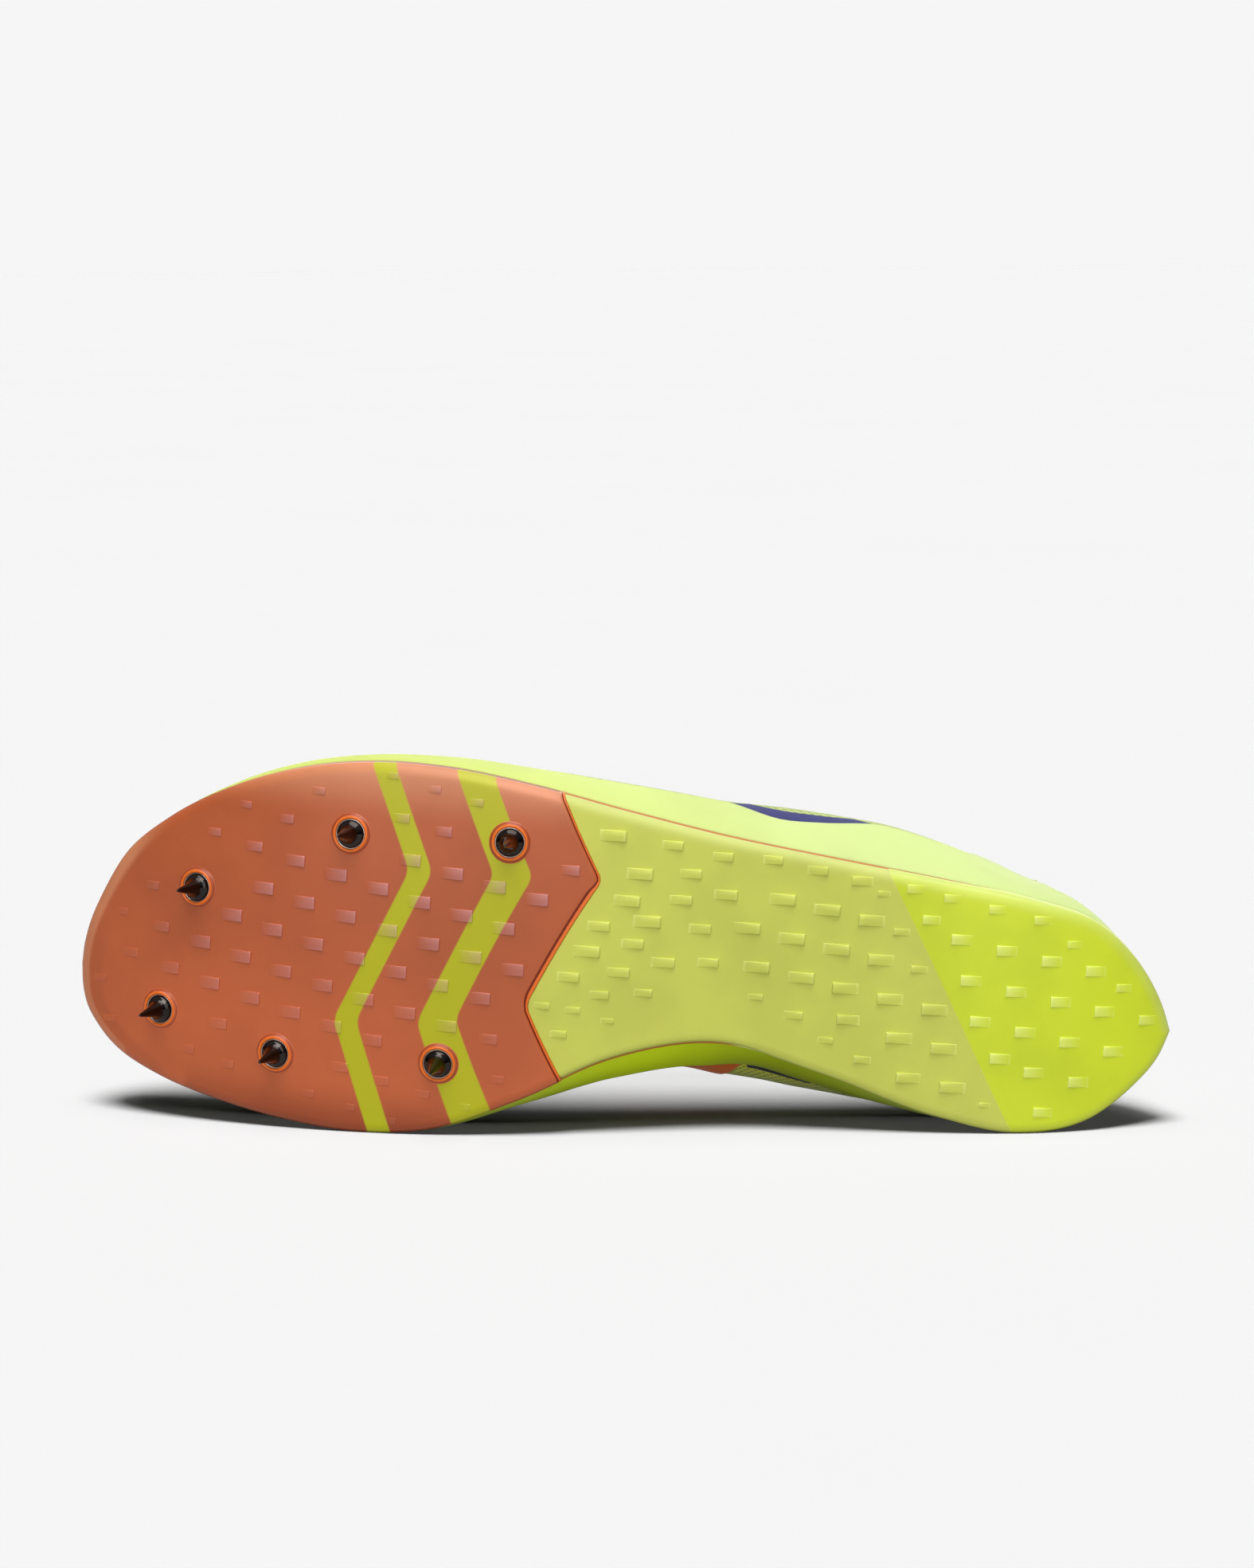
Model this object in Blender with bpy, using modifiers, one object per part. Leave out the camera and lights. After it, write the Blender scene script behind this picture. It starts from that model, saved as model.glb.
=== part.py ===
"""A cross country spike: the left shoe of a pair, empty, lying on its medial side.

Every size is in millimetres in the shoe's own frame, where x runs from heel to toe, y from medial
to lateral and z up from the sole. MM turns them into metres where a mesh is made, and one empty
lays the whole shoe down so that the floor is at z = 0.
"""

import math
from collections import namedtuple

import bmesh
import bpy
import numpy as np
from mathutils import Matrix, Vector

MM = 0.001
GAP = 0.3

# Driving sizes of the sole.
HEEL_TIP = -3.3
TOE_TIP = 286.3
TOE_SPRING = 40.1
SPRING_START = 148.0
HEEL_BEVEL = 8.0
BEVEL_END = 45.0
CROWN = 2.6
BALL_WIDTH = 96.0
ARCH_RISE = 3.0
ARCH_PLACE = 108.0
ARCH_SPREAD = 34.0
EDGE_ROLL = 1.6
ROLL_WIDTH = 4.0

# Heights of the sole's layers over its outer face.
PAD_FACE = 0.8
HEEL_FACE = 0.5
PAD_BACK = 2.3
PLATE_STEP = PAD_BACK + GAP
PLATE_BACK = 4.0
FOAM_FACE = PLATE_BACK + GAP
FOOTBED_DISH = 3.0
INSOLE_THICK = 3.0
INSOLE_MARGIN = 3.6
INSOLE_LIFT = 0.6

# Upper, tongue and lace.
WALL = 1.6
FEATHER_INSET = 1.2
FEATHER_LIFT = 1.0
TONGUE_THICK = 2.4
TONGUE_DROP = WALL + 0.9
THROAT_CROWN = 5.0
LACE_RADIUS = 1.2
LACE_CLEAR = 0.8
LACE_SAG = 0.4
EYELET_ROWS = (0.485, 0.565, 0.645, 0.725, 0.805, 0.88)
EYELET_PLACE = 0.88

# Screw-in spikes and the seats moulded in the plate.
SEAT_RADIUS = 4.95
SEAT_PROUD = 0.9
SEAT_ROOT = 1.5
RECESS_RADIUS = 4.15
RECESS_DEPTH = 0.3
BORE_RADIUS = 2.6
STUD_RADIUS = 2.25
STUD_LENGTH = 3.2
FLANGE_RADIUS = 3.75
FLANGE_HEIGHT = 1.0
CONE_RADIUS = 2.7
CONE_LENGTH = 9.5
TIP_RADIUS = 0.35

# Where the shoe's own softness flattens it against the floor.
FLAT_DEPTH = 0.5

# Counts of stations along the shoe and of rows across each skin.
STATIONS = 34
HEEL_ROWS = 9
MIDFOOT_ROWS = 12
FOREFOOT_ROWS = 17
TIP_CROWDING = 1.5
UPPER_ROWS = 8
WALL_ROWS = 3
ROUND_SIDES = 16

# Outline of the sole: the two edges at each section from heel to toe.
Section = namedtuple("Section", "x medial lateral")
SECTIONS = [
    Section(HEEL_TIP, -1.6, -1.6),
    Section(-0.8, -8.0, 4.9),
    Section(6.3, -16.9, 16.2),
    Section(18.0, -25.8, 26.6),
    Section(36.0, -29.7, 32.1),
    Section(58.0, -26.5, 35.6),
    Section(88.0, -17.4, 39.8),
    Section(117.0, -11.3, 44.1),
    Section(143.0, -16.9, 49.1),
    Section(167.0, -29.2, 53.9),
    Section(190.0, -38.9, 56.8),
    Section(210.0, -41.4, 56.6),
    Section(230.0, -40.2, 52.9),
    Section(247.0, -37.5, 46.3),
    Section(263.0, -33.4, 36.7),
    Section(275.0, -27.9, 25.4),
    Section(281.0, -22.2, 14.2),
    Section(284.4, -17.0, 5.6),
    Section(285.8, -12.0, -0.5),
    Section(TOE_TIP, -6.0, -6.0),
]

# Bite line, where the upper meets the foam: its height over the sole's face, and how far the foam
# flares out past the sole's edge. The upper leaves it with a lean away from upright, in degrees.
Bite = namedtuple("Bite", "x height flare_medial flare_lateral lean_medial lean_lateral rise")
BITES = [
    Bite(HEEL_TIP, 22.5, -4.0, -4.0, 10.0, 10.0, 19.0),
    Bite(6.0, 22.5, -1.5, -0.2, 8.0, 4.0, 18.0),
    Bite(18.0, 22.0, 0.0, 1.8, 8.0, 4.0, 17.0),
    Bite(38.0, 21.5, 0.4, 2.8, 12.0, 4.0, 16.0),
    Bite(60.0, 20.5, 3.0, 7.2, 20.0, 4.0, 16.0),
    Bite(78.0, 19.9, 6.1, 8.8, 24.5, 8.0, 17.4),
    Bite(92.0, 19.45, 7.7, 6.4, 25.6, 23.0, 18.3),
    Bite(102.0, 19.05, 8.6, 5.2, 25.0, 27.0, 19.0),
    Bite(117.0, 18.5, 9.2, 6.8, 22.0, 4.0, 20.0),
    Bite(143.0, 17.0, 8.2, 5.1, 14.0, 4.0, 22.0),
    Bite(170.0, 15.5, 3.2, 2.5, 5.0, 3.0, 22.0),
    Bite(205.0, 13.5, 0.0, 0.6, 2.0, 3.0, 20.0),
    Bite(247.0, 11.5, 0.0, 0.2, 14.0, 12.0, 17.0),
    Bite(TOE_TIP, 9.5, -0.5, -0.5, 30.0, 30.0, 19.0),
]

# Topline of the upper: collar from the heel, then the throat's edge down to the vamp. Each row gives
# the share of the way round, its place, and how the skin arrives: its lean inwards from upright in
# degrees, and how far back along the skin that lean is felt.
Top = namedtuple("Top", "share x medial lateral z lean reach")
TOPLINE = [
    Top(0.00, 9.0, -0.3, -0.3, 77.0, 14.0, 20.0),
    Top(0.04, 10.6, -8.8, 8.4, 76.6, 14.0, 20.0),
    Top(0.11, 22.0, -18.2, 18.4, 74.0, 14.0, 18.0),
    Top(0.22, 48.0, -26.0, 28.0, 65.0, 16.0, 15.0),
    Top(0.32, 75.0, -27.5, 32.5, 60.0, 20.0, 14.0),
    Top(0.40, 98.0, -22.5, 30.5, 65.5, 26.0, 16.0),
    Top(0.46, 116.0, -14.0, 23.5, 80.0, 40.0, 20.0),
    Top(0.56, 138.0, -11.5, 23.0, 75.5, 48.0, 22.0),
    Top(0.68, 163.0, -8.5, 21.5, 69.0, 55.0, 23.0),
    Top(0.80, 185.0, -4.5, 19.0, 63.5, 60.0, 25.0),
    Top(0.90, 198.0, -0.6, 15.6, 60.5, 70.0, 31.0),
    Top(0.96, 202.4, 3.3, 11.7, 59.7, 78.0, 37.0),
    Top(1.00, 203.3, 7.5, 7.5, 59.5, 80.0, 40.0),
]

# Edge between the bare plate and the midfoot pad, and between midfoot and heel pads: x at each
# share of the sole's width from medial to lateral.
Cross = namedtuple("Cross", "across x")
ZIGZAG = [Cross(0.0, 155.3), Cross(0.31, 165.9), Cross(0.72, 148.0), Cross(1.0, 159.3)]
HEEL_LINE = [Cross(0.0, 37.4), Cross(1.0, 74.6)]
ACROSS = (0.0, 0.03, 0.09, 0.18, 0.31, 0.44, 0.58, 0.72, 0.84, 0.92, 0.97, 1.0)

# Places of the six spikes on the sole's face.
Spike = namedtuple("Spike", "x y")
SPIKES = [
    Spike(254.3, 19.1),
    Spike(263.0, -14.8),
    Spike(213.8, 37.8),
    Spike(172.3, 39.2),
    Spike(187.8, -20.3),
    Spike(231.0, -22.4),
]

# Colours and finishes, as linear colour, roughness and metallic value.
Finish = namedtuple("Finish", "colour roughness metallic")
FINISHES = {
    "plate": Finish((0.50, 0.12, 0.05), 0.30, 0.0),
    "midfoot_pad": Finish((0.55, 0.60, 0.15), 0.60, 0.0),
    "heel_pad": Finish((0.55, 0.66, 0.05), 0.45, 0.0),
    "midsole": Finish((0.72, 0.92, 0.20), 0.60, 0.0),
    "insole": Finish((0.60, 0.72, 0.12), 0.85, 0.0),
    "upper": Finish((0.75, 0.95, 0.24), 0.70, 0.0),
    "tongue": Finish((0.75, 0.95, 0.24), 0.75, 0.0),
    "lace": Finish((0.12, 0.13, 0.40), 0.80, 0.0),
    "spike": Finish((0.02, 0.016, 0.014), 0.18, 0.9),
}


def smooth(knots, values, at):
    """Reads a smooth curve through values at the knots, at the places in at."""
    knots = np.asarray(knots, float)
    values = np.asarray(values, float)
    at = np.asarray(at, float)
    slopes = np.gradient(values, knots, axis=0)
    i = np.clip(np.searchsorted(knots, at, side="right") - 1, 0, len(knots) - 2)
    step = knots[i + 1] - knots[i]
    t = (at - knots[i]) / step
    if values.ndim > 1:
        t = t[..., None]
        step = step[..., None]
    back = (1 + 2 * t) * (1 - t) ** 2 * values[i] + t * (1 - t) ** 2 * step * slopes[i]
    return back + t * t * (3 - 2 * t) * values[i + 1] + t * t * (t - 1) * step * slopes[i + 1]


def column(table, key, name, at):
    """One column of a table as a smooth curve over another, its key."""
    return smooth([getattr(row, key) for row in table], [getattr(row, name) for row in table], at)


def unit(vectors):
    return vectors / np.linalg.norm(vectors, axis=-1, keepdims=True)


def edge_knots():
    """Each section's share of the way from heel to toe, along the mean of the two edges."""
    medial = np.array([(row.x, row.medial) for row in SECTIONS])
    lateral = np.array([(row.x, row.lateral) for row in SECTIONS])
    steps = np.linalg.norm(np.diff(medial, axis=0), axis=1) + np.linalg.norm(np.diff(lateral, axis=0), axis=1)
    along = np.concatenate([[0.0], np.cumsum(steps)])
    return along / along[-1]


KNOTS = edge_knots()


def edge(share, side):
    """Plan place of the sole's edge: side is 1 on the lateral edge and -1 on the medial one."""
    name = "lateral" if side > 0 else "medial"
    return smooth(KNOTS, [(row.x, getattr(row, name)) for row in SECTIONS], share)


def outward(share, side):
    """Plan direction out of the sole at its edge."""
    share = np.asarray(share, float)
    step = 0.004
    run = edge(np.clip(share + step, 0, 1), side) - edge(np.clip(share - step, 0, 1), side)
    out = unit(side * np.stack([-run[..., 1], run[..., 0]], axis=-1))
    out[share <= 0] = (-1, 0)
    out[share >= 1] = (1, 0)
    return out


def plan(share, across):
    """Plan place at a share of the length and a share of the width, from medial to lateral."""
    across = np.asarray(across, float)[..., None]
    return edge(share, -1) * (1 - across) + edge(share, 1) * across


def rocker(x):
    """Height of the sole's face along its middle: toe spring and heel bevel."""
    spring = np.clip((x - SPRING_START) / (TOE_TIP - SPRING_START), 0, None)
    bevel = np.clip((BEVEL_END - x) / BEVEL_END, 0, None)
    return TOE_SPRING * spring**2 + HEEL_BEVEL * bevel**2


def upright(x):
    """Direction square to the rocker, in which the sole's layers are stacked."""
    step = 0.5
    slope = (rocker(x + step) - rocker(x - step)) / (2 * step)
    return unit(np.stack([-slope, np.zeros_like(slope), np.ones_like(slope)], axis=-1))


def sole_face(share, across):
    """Point of the sole's outer face."""
    share, across = np.broadcast_arrays(np.asarray(share, float), np.asarray(across, float))
    place = plan(share, across)
    width = np.linalg.norm(edge(share, 1) - edge(share, -1), axis=-1)
    to_edge = np.minimum(across, 1 - across) * width
    roll = EDGE_ROLL * np.clip(1 - to_edge / ROLL_WIDTH, 0, None) ** 2
    crown = CROWN * ((2 * across - 1) * width / BALL_WIDTH) ** 2
    arch = ARCH_RISE * (1 - across) * np.exp(-(((place[..., 0] - ARCH_PLACE) / ARCH_SPREAD) ** 2))
    height = rocker(place[..., 0]) + roll + crown + arch
    return np.concatenate([place, height[..., None]], axis=-1)


def layer(share, across, height):
    """Point of the sole at a height over its outer face."""
    face = sole_face(share, across)
    return face + upright(face[..., 0]) * np.asarray(height, float)[..., None]


def bite(share, side, inset=0.0, lift=0.0):
    """Point of the bite line, moved in from it and up."""
    face = sole_face(share, np.full(np.shape(share), 0.5 + 0.5 * side))
    x = face[..., 0]
    flare = column(BITES, "x", "flare_lateral" if side > 0 else "flare_medial", x) - inset
    out = outward(share, side) * flare[..., None]
    raised = face + upright(x) * (column(BITES, "x", "height", x) + lift)[..., None]
    raised[..., :2] += out
    return raised


def topline(share, side):
    name = "lateral" if side > 0 else "medial"
    return np.stack([column(TOPLINE, "share", axis, share) for axis in ("x", name, "z")], axis=-1)


def inward(share, side):
    """Plan direction into the opening at the topline."""
    share = np.asarray(share, float)
    step = 0.004
    run = topline(np.clip(share + step, 0, 1), side) - topline(np.clip(share - step, 0, 1), side)
    turned = unit(side * np.stack([run[..., 1], -run[..., 0]], axis=-1))
    turned[share <= 0] = (1, 0)
    turned[share >= 1] = (-1, 0)
    return turned


def upper_skin(share, side, up):
    """Point of the upper's outer skin: share runs heel to toe, up from the bite line to the topline."""
    share, up = np.broadcast_arrays(np.asarray(share, float), np.asarray(up, float))
    foot = bite(share, side, FEATHER_INSET, FEATHER_LIFT)
    x = foot[..., 0]
    lean = np.radians(column(BITES, "x", "lean_lateral" if side > 0 else "lean_medial", x))[..., None]
    out = np.concatenate([outward(share, side), np.zeros(share.shape + (1,))], axis=-1)
    leave = upright(x) * np.cos(lean) + out * np.sin(lean)
    head = topline(share, side)
    tilt = np.radians(column(TOPLINE, "share", "lean", share))[..., None]
    into = np.concatenate([inward(share, side), np.zeros(share.shape + (1,))], axis=-1)
    arrive = np.array([0.0, 0.0, 1.0]) * np.cos(tilt) + into * np.sin(tilt)
    first = foot + leave * column(BITES, "x", "rise", x)[..., None]
    second = head - arrive * column(TOPLINE, "share", "reach", share)[..., None]
    t = up[..., None]
    return (1 - t) ** 3 * foot + 3 * t * (1 - t) ** 2 * first + 3 * t * t * (1 - t) * second + t**3 * head


def skin_normal(share, side, up):
    """Direction out of the upper's skin."""
    step = 0.01
    low, high = np.clip(share - step, 0.001, 0.999), np.clip(share + step, 0.001, 0.999)
    along = upper_skin(high, side, up) - upper_skin(low, side, up)
    rising = upper_skin(share, side, np.minimum(up + step, 1)) - upper_skin(share, side, np.maximum(up - step, 0))
    return unit(side * np.cross(rising, along))


def throat(share, across, drop):
    """Point of the instep across the throat, across 0 on the medial edge and 1 on the lateral one."""
    share, across = np.broadcast_arrays(np.asarray(share, float), np.asarray(across, float))
    medial, lateral = topline(share, -1), topline(share, 1)
    step = 0.02
    middle = lambda s: (topline(s, -1) + topline(s, 1)) / 2
    run = unit(middle(np.clip(share - step, 0, 1)) - middle(np.clip(share + step, 0, 1)))
    up = unit(np.cross(unit(lateral - medial), run))
    up = up * np.sign(up[..., 2:])
    t = across[..., None]
    crown = 4 * t * (1 - t) * THROAT_CROWN * np.linalg.norm(lateral - medial, axis=-1, keepdims=True) / 36.0
    return medial * (1 - t) + lateral * t + up * (crown - drop)


def new_object(name, mesh, collection):
    made = bpy.data.objects.new(name, mesh)
    collection.objects.link(made)
    return made


def finish(made, name):
    """Gives an object its material and smooth shading."""
    material = bpy.data.materials.get(name)
    if material is None:
        material = bpy.data.materials.new(name)
        material.use_nodes = True
        shader = material.node_tree.nodes["Principled BSDF"]
        shader.inputs["Base Color"].default_value = (*FINISHES[name].colour, 1.0)
        shader.inputs["Roughness"].default_value = FINISHES[name].roughness
        shader.inputs["Metallic"].default_value = FINISHES[name].metallic
    if made.type == "MESH":
        made.data.shade_smooth()
        made.data.set_sharp_from_angle(angle=math.radians(40))
    made.data.materials.append(material)


def grid_faces(rows, columns, ring):
    """Corner numbers of the quads of a grid whose columns may close on themselves."""
    wide = columns if ring else columns - 1
    for r in range(rows - 1):
        for c in range(wide):
            n = (c + 1) % columns
            yield (r * columns + c, r * columns + n, (r + 1) * columns + n, (r + 1) * columns + c)


def mesh_of(name, points, faces):
    """A mesh in metres from points in millimetres, its doubled points joined and its faces turned out."""
    made = bmesh.new()
    corners = [made.verts.new(Vector(p) * MM) for p in points]
    for face in faces:
        made.faces.new([corners[i] for i in face])
    bmesh.ops.remove_doubles(made, verts=made.verts, dist=1e-6)
    bmesh.ops.dissolve_degenerate(made, edges=made.edges, dist=1e-7)
    bmesh.ops.recalc_face_normals(made, faces=made.faces)
    mesh = bpy.data.meshes.new(name)
    made.to_mesh(mesh)
    made.free()
    return mesh


def slab(name, low, high, collection):
    """A closed sheet between two grids of points with the same rows and columns."""
    rows, columns = low.shape[:2]
    count = rows * columns
    faces = [face[::-1] for face in grid_faces(rows, columns, False)]
    faces += [tuple(i + count for i in face) for face in grid_faces(rows, columns, False)]
    rim = [(0, c) for c in range(columns)] + [(r, columns - 1) for r in range(1, rows)]
    rim += [(rows - 1, c) for c in range(columns - 2, -1, -1)] + [(r, 0) for r in range(rows - 2, 0, -1)]
    rim = [r * columns + c for r, c in rim]
    for here, there in zip(rim, rim[1:] + rim[:1]):
        faces.append((here, there, there + count, here + count))
    points = np.concatenate([low.reshape(-1, 3), high.reshape(-1, 3)])
    return new_object(name, mesh_of(name, points, faces), collection)


SHARES = np.linspace(0.0, 1.0, 2001)


def shares_at(line, shift=0.0):
    """Share of the length where each line across the sole crosses a table of places."""
    at = np.interp(ACROSS, [row.across for row in line], [row.x for row in line]) + shift
    return np.array([np.interp(x, plan(SHARES, np.full(SHARES.shape, w))[:, 0], SHARES) for x, w in zip(at, ACROSS)])


def rows_between(back, front, count, heel=False, toe=False):
    """Shares for each row from the back line to the front line, closer together at a tip."""
    t = np.linspace(0, 1, count)[:, None]
    if heel:
        t = t**TIP_CROWDING
    if toe:
        t = 1 - (1 - t) ** TIP_CROWDING
    return np.asarray(back) * (1 - t) + np.asarray(front) * t


def sole_rows():
    """Shares of the rows that cross the sole's layers over heel, midfoot and forefoot."""
    tip = np.zeros(len(ACROSS))
    zigzag, heel_line = shares_at(ZIGZAG), shares_at(HEEL_LINE)
    over_heel = rows_between(tip, heel_line, HEEL_ROWS, heel=True)
    over_midfoot = rows_between(heel_line, zigzag, MIDFOOT_ROWS)
    over_forefoot = rows_between(zigzag, tip + 1, FOREFOOT_ROWS, toe=True)
    return over_heel, over_midfoot, over_forefoot


def make_plate(collection):
    """Thin behind the zigzag, where the pads lie under it, and thick and bare in front of it."""
    over_heel, over_midfoot, over_forefoot = sole_rows()
    thin = np.concatenate([over_heel[:-1], over_midfoot])
    shares = np.concatenate([thin, over_forefoot])
    faces = np.concatenate([np.full(thin.shape, PLATE_STEP), np.zeros(over_forefoot.shape)])
    across = np.broadcast_to(ACROSS, shares.shape)
    low = layer(shares, across, faces)
    high = layer(shares, across, np.full(shares.shape, PLATE_BACK))
    return slab("plate", low, high, collection)


def make_pad(name, back, front, face, rows, collection, heel=False):
    shares = rows_between(back, front, rows, heel)
    across = np.broadcast_to(ACROSS, shares.shape)
    low = layer(shares, across, np.full(shares.shape, face))
    high = layer(shares, across, np.full(shares.shape, PAD_BACK))
    return slab(name, low, high, collection)


def station_shares(count):
    """Shares from heel to toe, closer together at the two tips."""
    t = np.linspace(0.0, 1.0, count + 1)
    return t - 0.07 * np.sin(2 * np.pi * t)


def foam_wall(share, side):
    """Rows of the foam's side wall between the plate and the bite line."""
    edge_across = np.full(share.shape, 0.5 + 0.5 * side)
    foot = layer(share, edge_across, np.full(share.shape, FOAM_FACE))
    head = bite(share, side)
    steps = np.arange(1, WALL_ROWS + 1) / (WALL_ROWS + 1)
    return [foot * (1 - t) + head * t for t in steps]


def footbed(share, across, lift=0.0, inset=0.0):
    """Top of the foam: the bite line's two edges with a shallow dish between them."""
    medial, lateral = bite(share, -1, inset), bite(share, 1, inset)
    t = np.asarray(across, float)[..., None]
    flat = medial * (1 - t) + lateral * t
    width = np.linalg.norm(lateral - medial, axis=-1)
    from_edge = np.minimum(across, 1 - across) * width
    dish = FOOTBED_DISH * (1 - np.exp(-from_edge / 6.0))
    return flat + upright(flat[..., 0]) * (lift - dish)[..., None]


FOOTBED_ACROSS = (1.0, 0.96, 0.86, 0.68, 0.5, 0.32, 0.14, 0.04, 0.0)


def make_midsole(collection):
    """Rings round the foam at each row: face, lateral wall, footbed and medial wall."""
    over_heel, over_midfoot, over_forefoot = sole_rows()
    shares = np.concatenate([over_heel[:-1], over_midfoot[:-1], over_forefoot])
    medial, lateral = shares[:, 0], shares[:, -1]
    face = layer(shares, np.broadcast_to(ACROSS, shares.shape), np.full(shares.shape, FOAM_FACE))
    rings = [face[:, c] for c in range(len(ACROSS))]
    rings += foam_wall(lateral, 1)
    for across in FOOTBED_ACROSS:
        share = medial * (1 - across) + lateral * across
        rings.append(footbed(share, np.full(share.shape, across)))
    rings += foam_wall(medial, -1)[::-1]
    points = np.stack(rings, axis=1)
    faces = list(grid_faces(len(shares), len(rings), True))
    return new_object("midsole", mesh_of("midsole", points.reshape(-1, 3), faces), collection)


def make_insole(collection):
    share = np.linspace(0.012, 0.988, 20)[:, None]
    across = np.array([0.0, 0.1, 0.3, 0.5, 0.7, 0.9, 1.0])[None, :]
    share, across = np.broadcast_arrays(share, across)
    low = footbed(share, across, INSOLE_LIFT, INSOLE_MARGIN)
    high = low + upright(low[..., 0]) * INSOLE_THICK
    return slab("insole", low, high, collection)


def make_upper(collection):
    """One ring of skin round the foot, from the bite line to the topline, thickened inwards."""
    share = station_shares(STATIONS)
    up = np.linspace(0.0, 1.0, UPPER_ROWS + 1)
    lateral = upper_skin(share[None, :], 1, up[:, None])
    medial = upper_skin(share[None, -2:0:-1], -1, up[:, None])
    points = np.concatenate([lateral, medial], axis=1)
    rows, columns = points.shape[:2]
    faces = list(grid_faces(rows, columns, True))
    made = new_object("upper", mesh_of("upper", points.reshape(-1, 3), faces), collection)
    wall = made.modifiers.new("wall", "SOLIDIFY")
    wall.thickness = WALL * MM
    wall.offset = -1.0
    wall.use_even_offset = True
    return made


TONGUE_TOP = 0.485
TONGUE_END = 0.93
TONGUE_LAP = (0.80, 0.88, 0.955)
Free = namedtuple("Free", "rise width lift")
TONGUE_FREE = [Free(31.0, 0.56, 4.4), Free(26.0, 0.68, 3.0), Free(16.0, 0.73, 1.0), Free(6.0, 0.79, 0.0)]


def make_tongue(collection):
    """A sheet under the throat, lapped below both eyelet edges and standing up past the collar."""
    share = np.linspace(TONGUE_TOP, TONGUE_END, 11)
    laps = {}
    for side in (-1, 1):
        laps[side] = []
        for up in TONGUE_LAP:
            level = np.full(share.shape, up)
            laps[side].append(upper_skin(share, side, level) - skin_normal(share, side, level) * TONGUE_DROP)
    middle = [throat(share, np.full(share.shape, across), TONGUE_DROP + 1.0) for across in (0.22, 0.5, 0.78)]
    lapped = np.stack(laps[-1] + middle + laps[1][::-1], axis=1)
    run = unit(unit(lapped[0] - lapped[2]).mean(axis=0))
    centre = lapped[0].mean(axis=0)
    across = unit(lapped[0][-1] - lapped[0][0])
    lift = unit(np.cross(across, run))
    lift = lift * np.sign(lift[2])
    free = [centre + (lapped[0] - centre) * row.width + run * row.rise + lift * row.lift for row in TONGUE_FREE]
    high = np.concatenate([np.stack(free), lapped])
    down = unit(np.cross(np.gradient(high, axis=0), np.gradient(high, axis=1)))
    down *= np.sign(down[..., 2:]) * -1
    return slab("tongue", high + down * TONGUE_THICK, high, collection)


def lace_route(start_share, start_side, end_share, start_up=EYELET_PLACE, end_up=EYELET_PLACE - 0.025):
    """A crossing from an eyelet over the throat to an eyelet on the other side."""
    clear = LACE_RADIUS + LACE_CLEAR
    fractions = np.array([0.08, 0.32, 0.68, 0.92])
    across = fractions if start_side < 0 else 1 - fractions
    share = start_share + (end_share - start_share) * (0.2 + 0.6 * fractions)
    over = throat(share, across, np.array([-clear, LACE_SAG, LACE_SAG, -clear])[:, None])
    ends = []
    for first, last, side, low in (
        (start_share, share[0], start_side, start_up),
        (end_share, share[-1], -start_side, end_up),
    ):
        at = np.array([first, 0.5 * (first + last)])
        up = np.array([low, 0.5 * (EYELET_PLACE + 1)])
        ends.append(upper_skin(at, side, up) + skin_normal(at, side, up) * clear)
    return np.concatenate([ends[0], over, ends[1][::-1]])


def tube(name, points, radius, collection):
    """A mesh tube with closed ends along points."""
    line = bpy.data.curves.new(name, "CURVE")
    line.dimensions = "3D"
    line.bevel_depth = radius * MM
    line.bevel_resolution = 1
    line.use_fill_caps = True
    spline = line.splines.new("POLY")
    spline.points.add(len(points) - 1)
    for point, place in zip(spline.points, points):
        point.co = (*(np.asarray(place) * MM), 1.0)
    guide = new_object(name, line, collection)
    graph = bpy.context.evaluated_depsgraph_get()
    mesh = bpy.data.meshes.new_from_object(guide.evaluated_get(graph))
    mesh.name = name
    bpy.data.objects.remove(guide)
    caps = bmesh.new()
    caps.from_mesh(mesh)
    bmesh.ops.remove_doubles(caps, verts=caps.verts, dist=1e-6)
    bmesh.ops.recalc_face_normals(caps, faces=caps.faces)
    caps.to_mesh(mesh)
    caps.free()
    return new_object(name, mesh, collection)


def make_lace(collection, cutters):
    """A straight bar at the vamp and a pair of crossings between each two rows of eyelets."""
    routes = [lace_route(EYELET_ROWS[-1], 1, EYELET_ROWS[-1], EYELET_PLACE - 0.04, EYELET_PLACE - 0.045)]
    for low, high in zip(EYELET_ROWS[1:], EYELET_ROWS[:-1]):
        routes += [lace_route(low, 1, high), lace_route(low, -1, high)]
    made = tube("lace", routes[0], LACE_RADIUS, collection)
    for number, route in enumerate(routes[1:], 1):
        other = tube(f"lace_crossing_{number}", route, LACE_RADIUS, cutters)
        join = made.modifiers.new(f"crossing_{number}", "BOOLEAN")
        join.operation = "UNION"
        join.object = other
    return made


def spike_frame(spike):
    """Matrix that stands a spike on the sole's face, its z pointing out of the sole, in metres."""
    share, across = 0.8, 0.5
    for _ in range(12):
        line = plan(SHARES, np.full(SHARES.shape, across))
        share = np.interp(spike.x, line[:, 0], SHARES)
        low, high = edge(np.array(share), -1)[1], edge(np.array(share), 1)[1]
        across = (spike.y - low) / (high - low)
    step = 0.01
    along = sole_face(share + step, across) - sole_face(share - step, across)
    side = sole_face(share, across + step) - sole_face(share, across - step)
    out = -unit(np.cross(along, side))
    if out[2] > 0:
        out = -out
    turn = Vector((0, 0, 1)).rotation_difference(Vector(out)).to_matrix().to_4x4()
    return Matrix.Translation(Vector(sole_face(share, across)) * MM) @ turn


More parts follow.
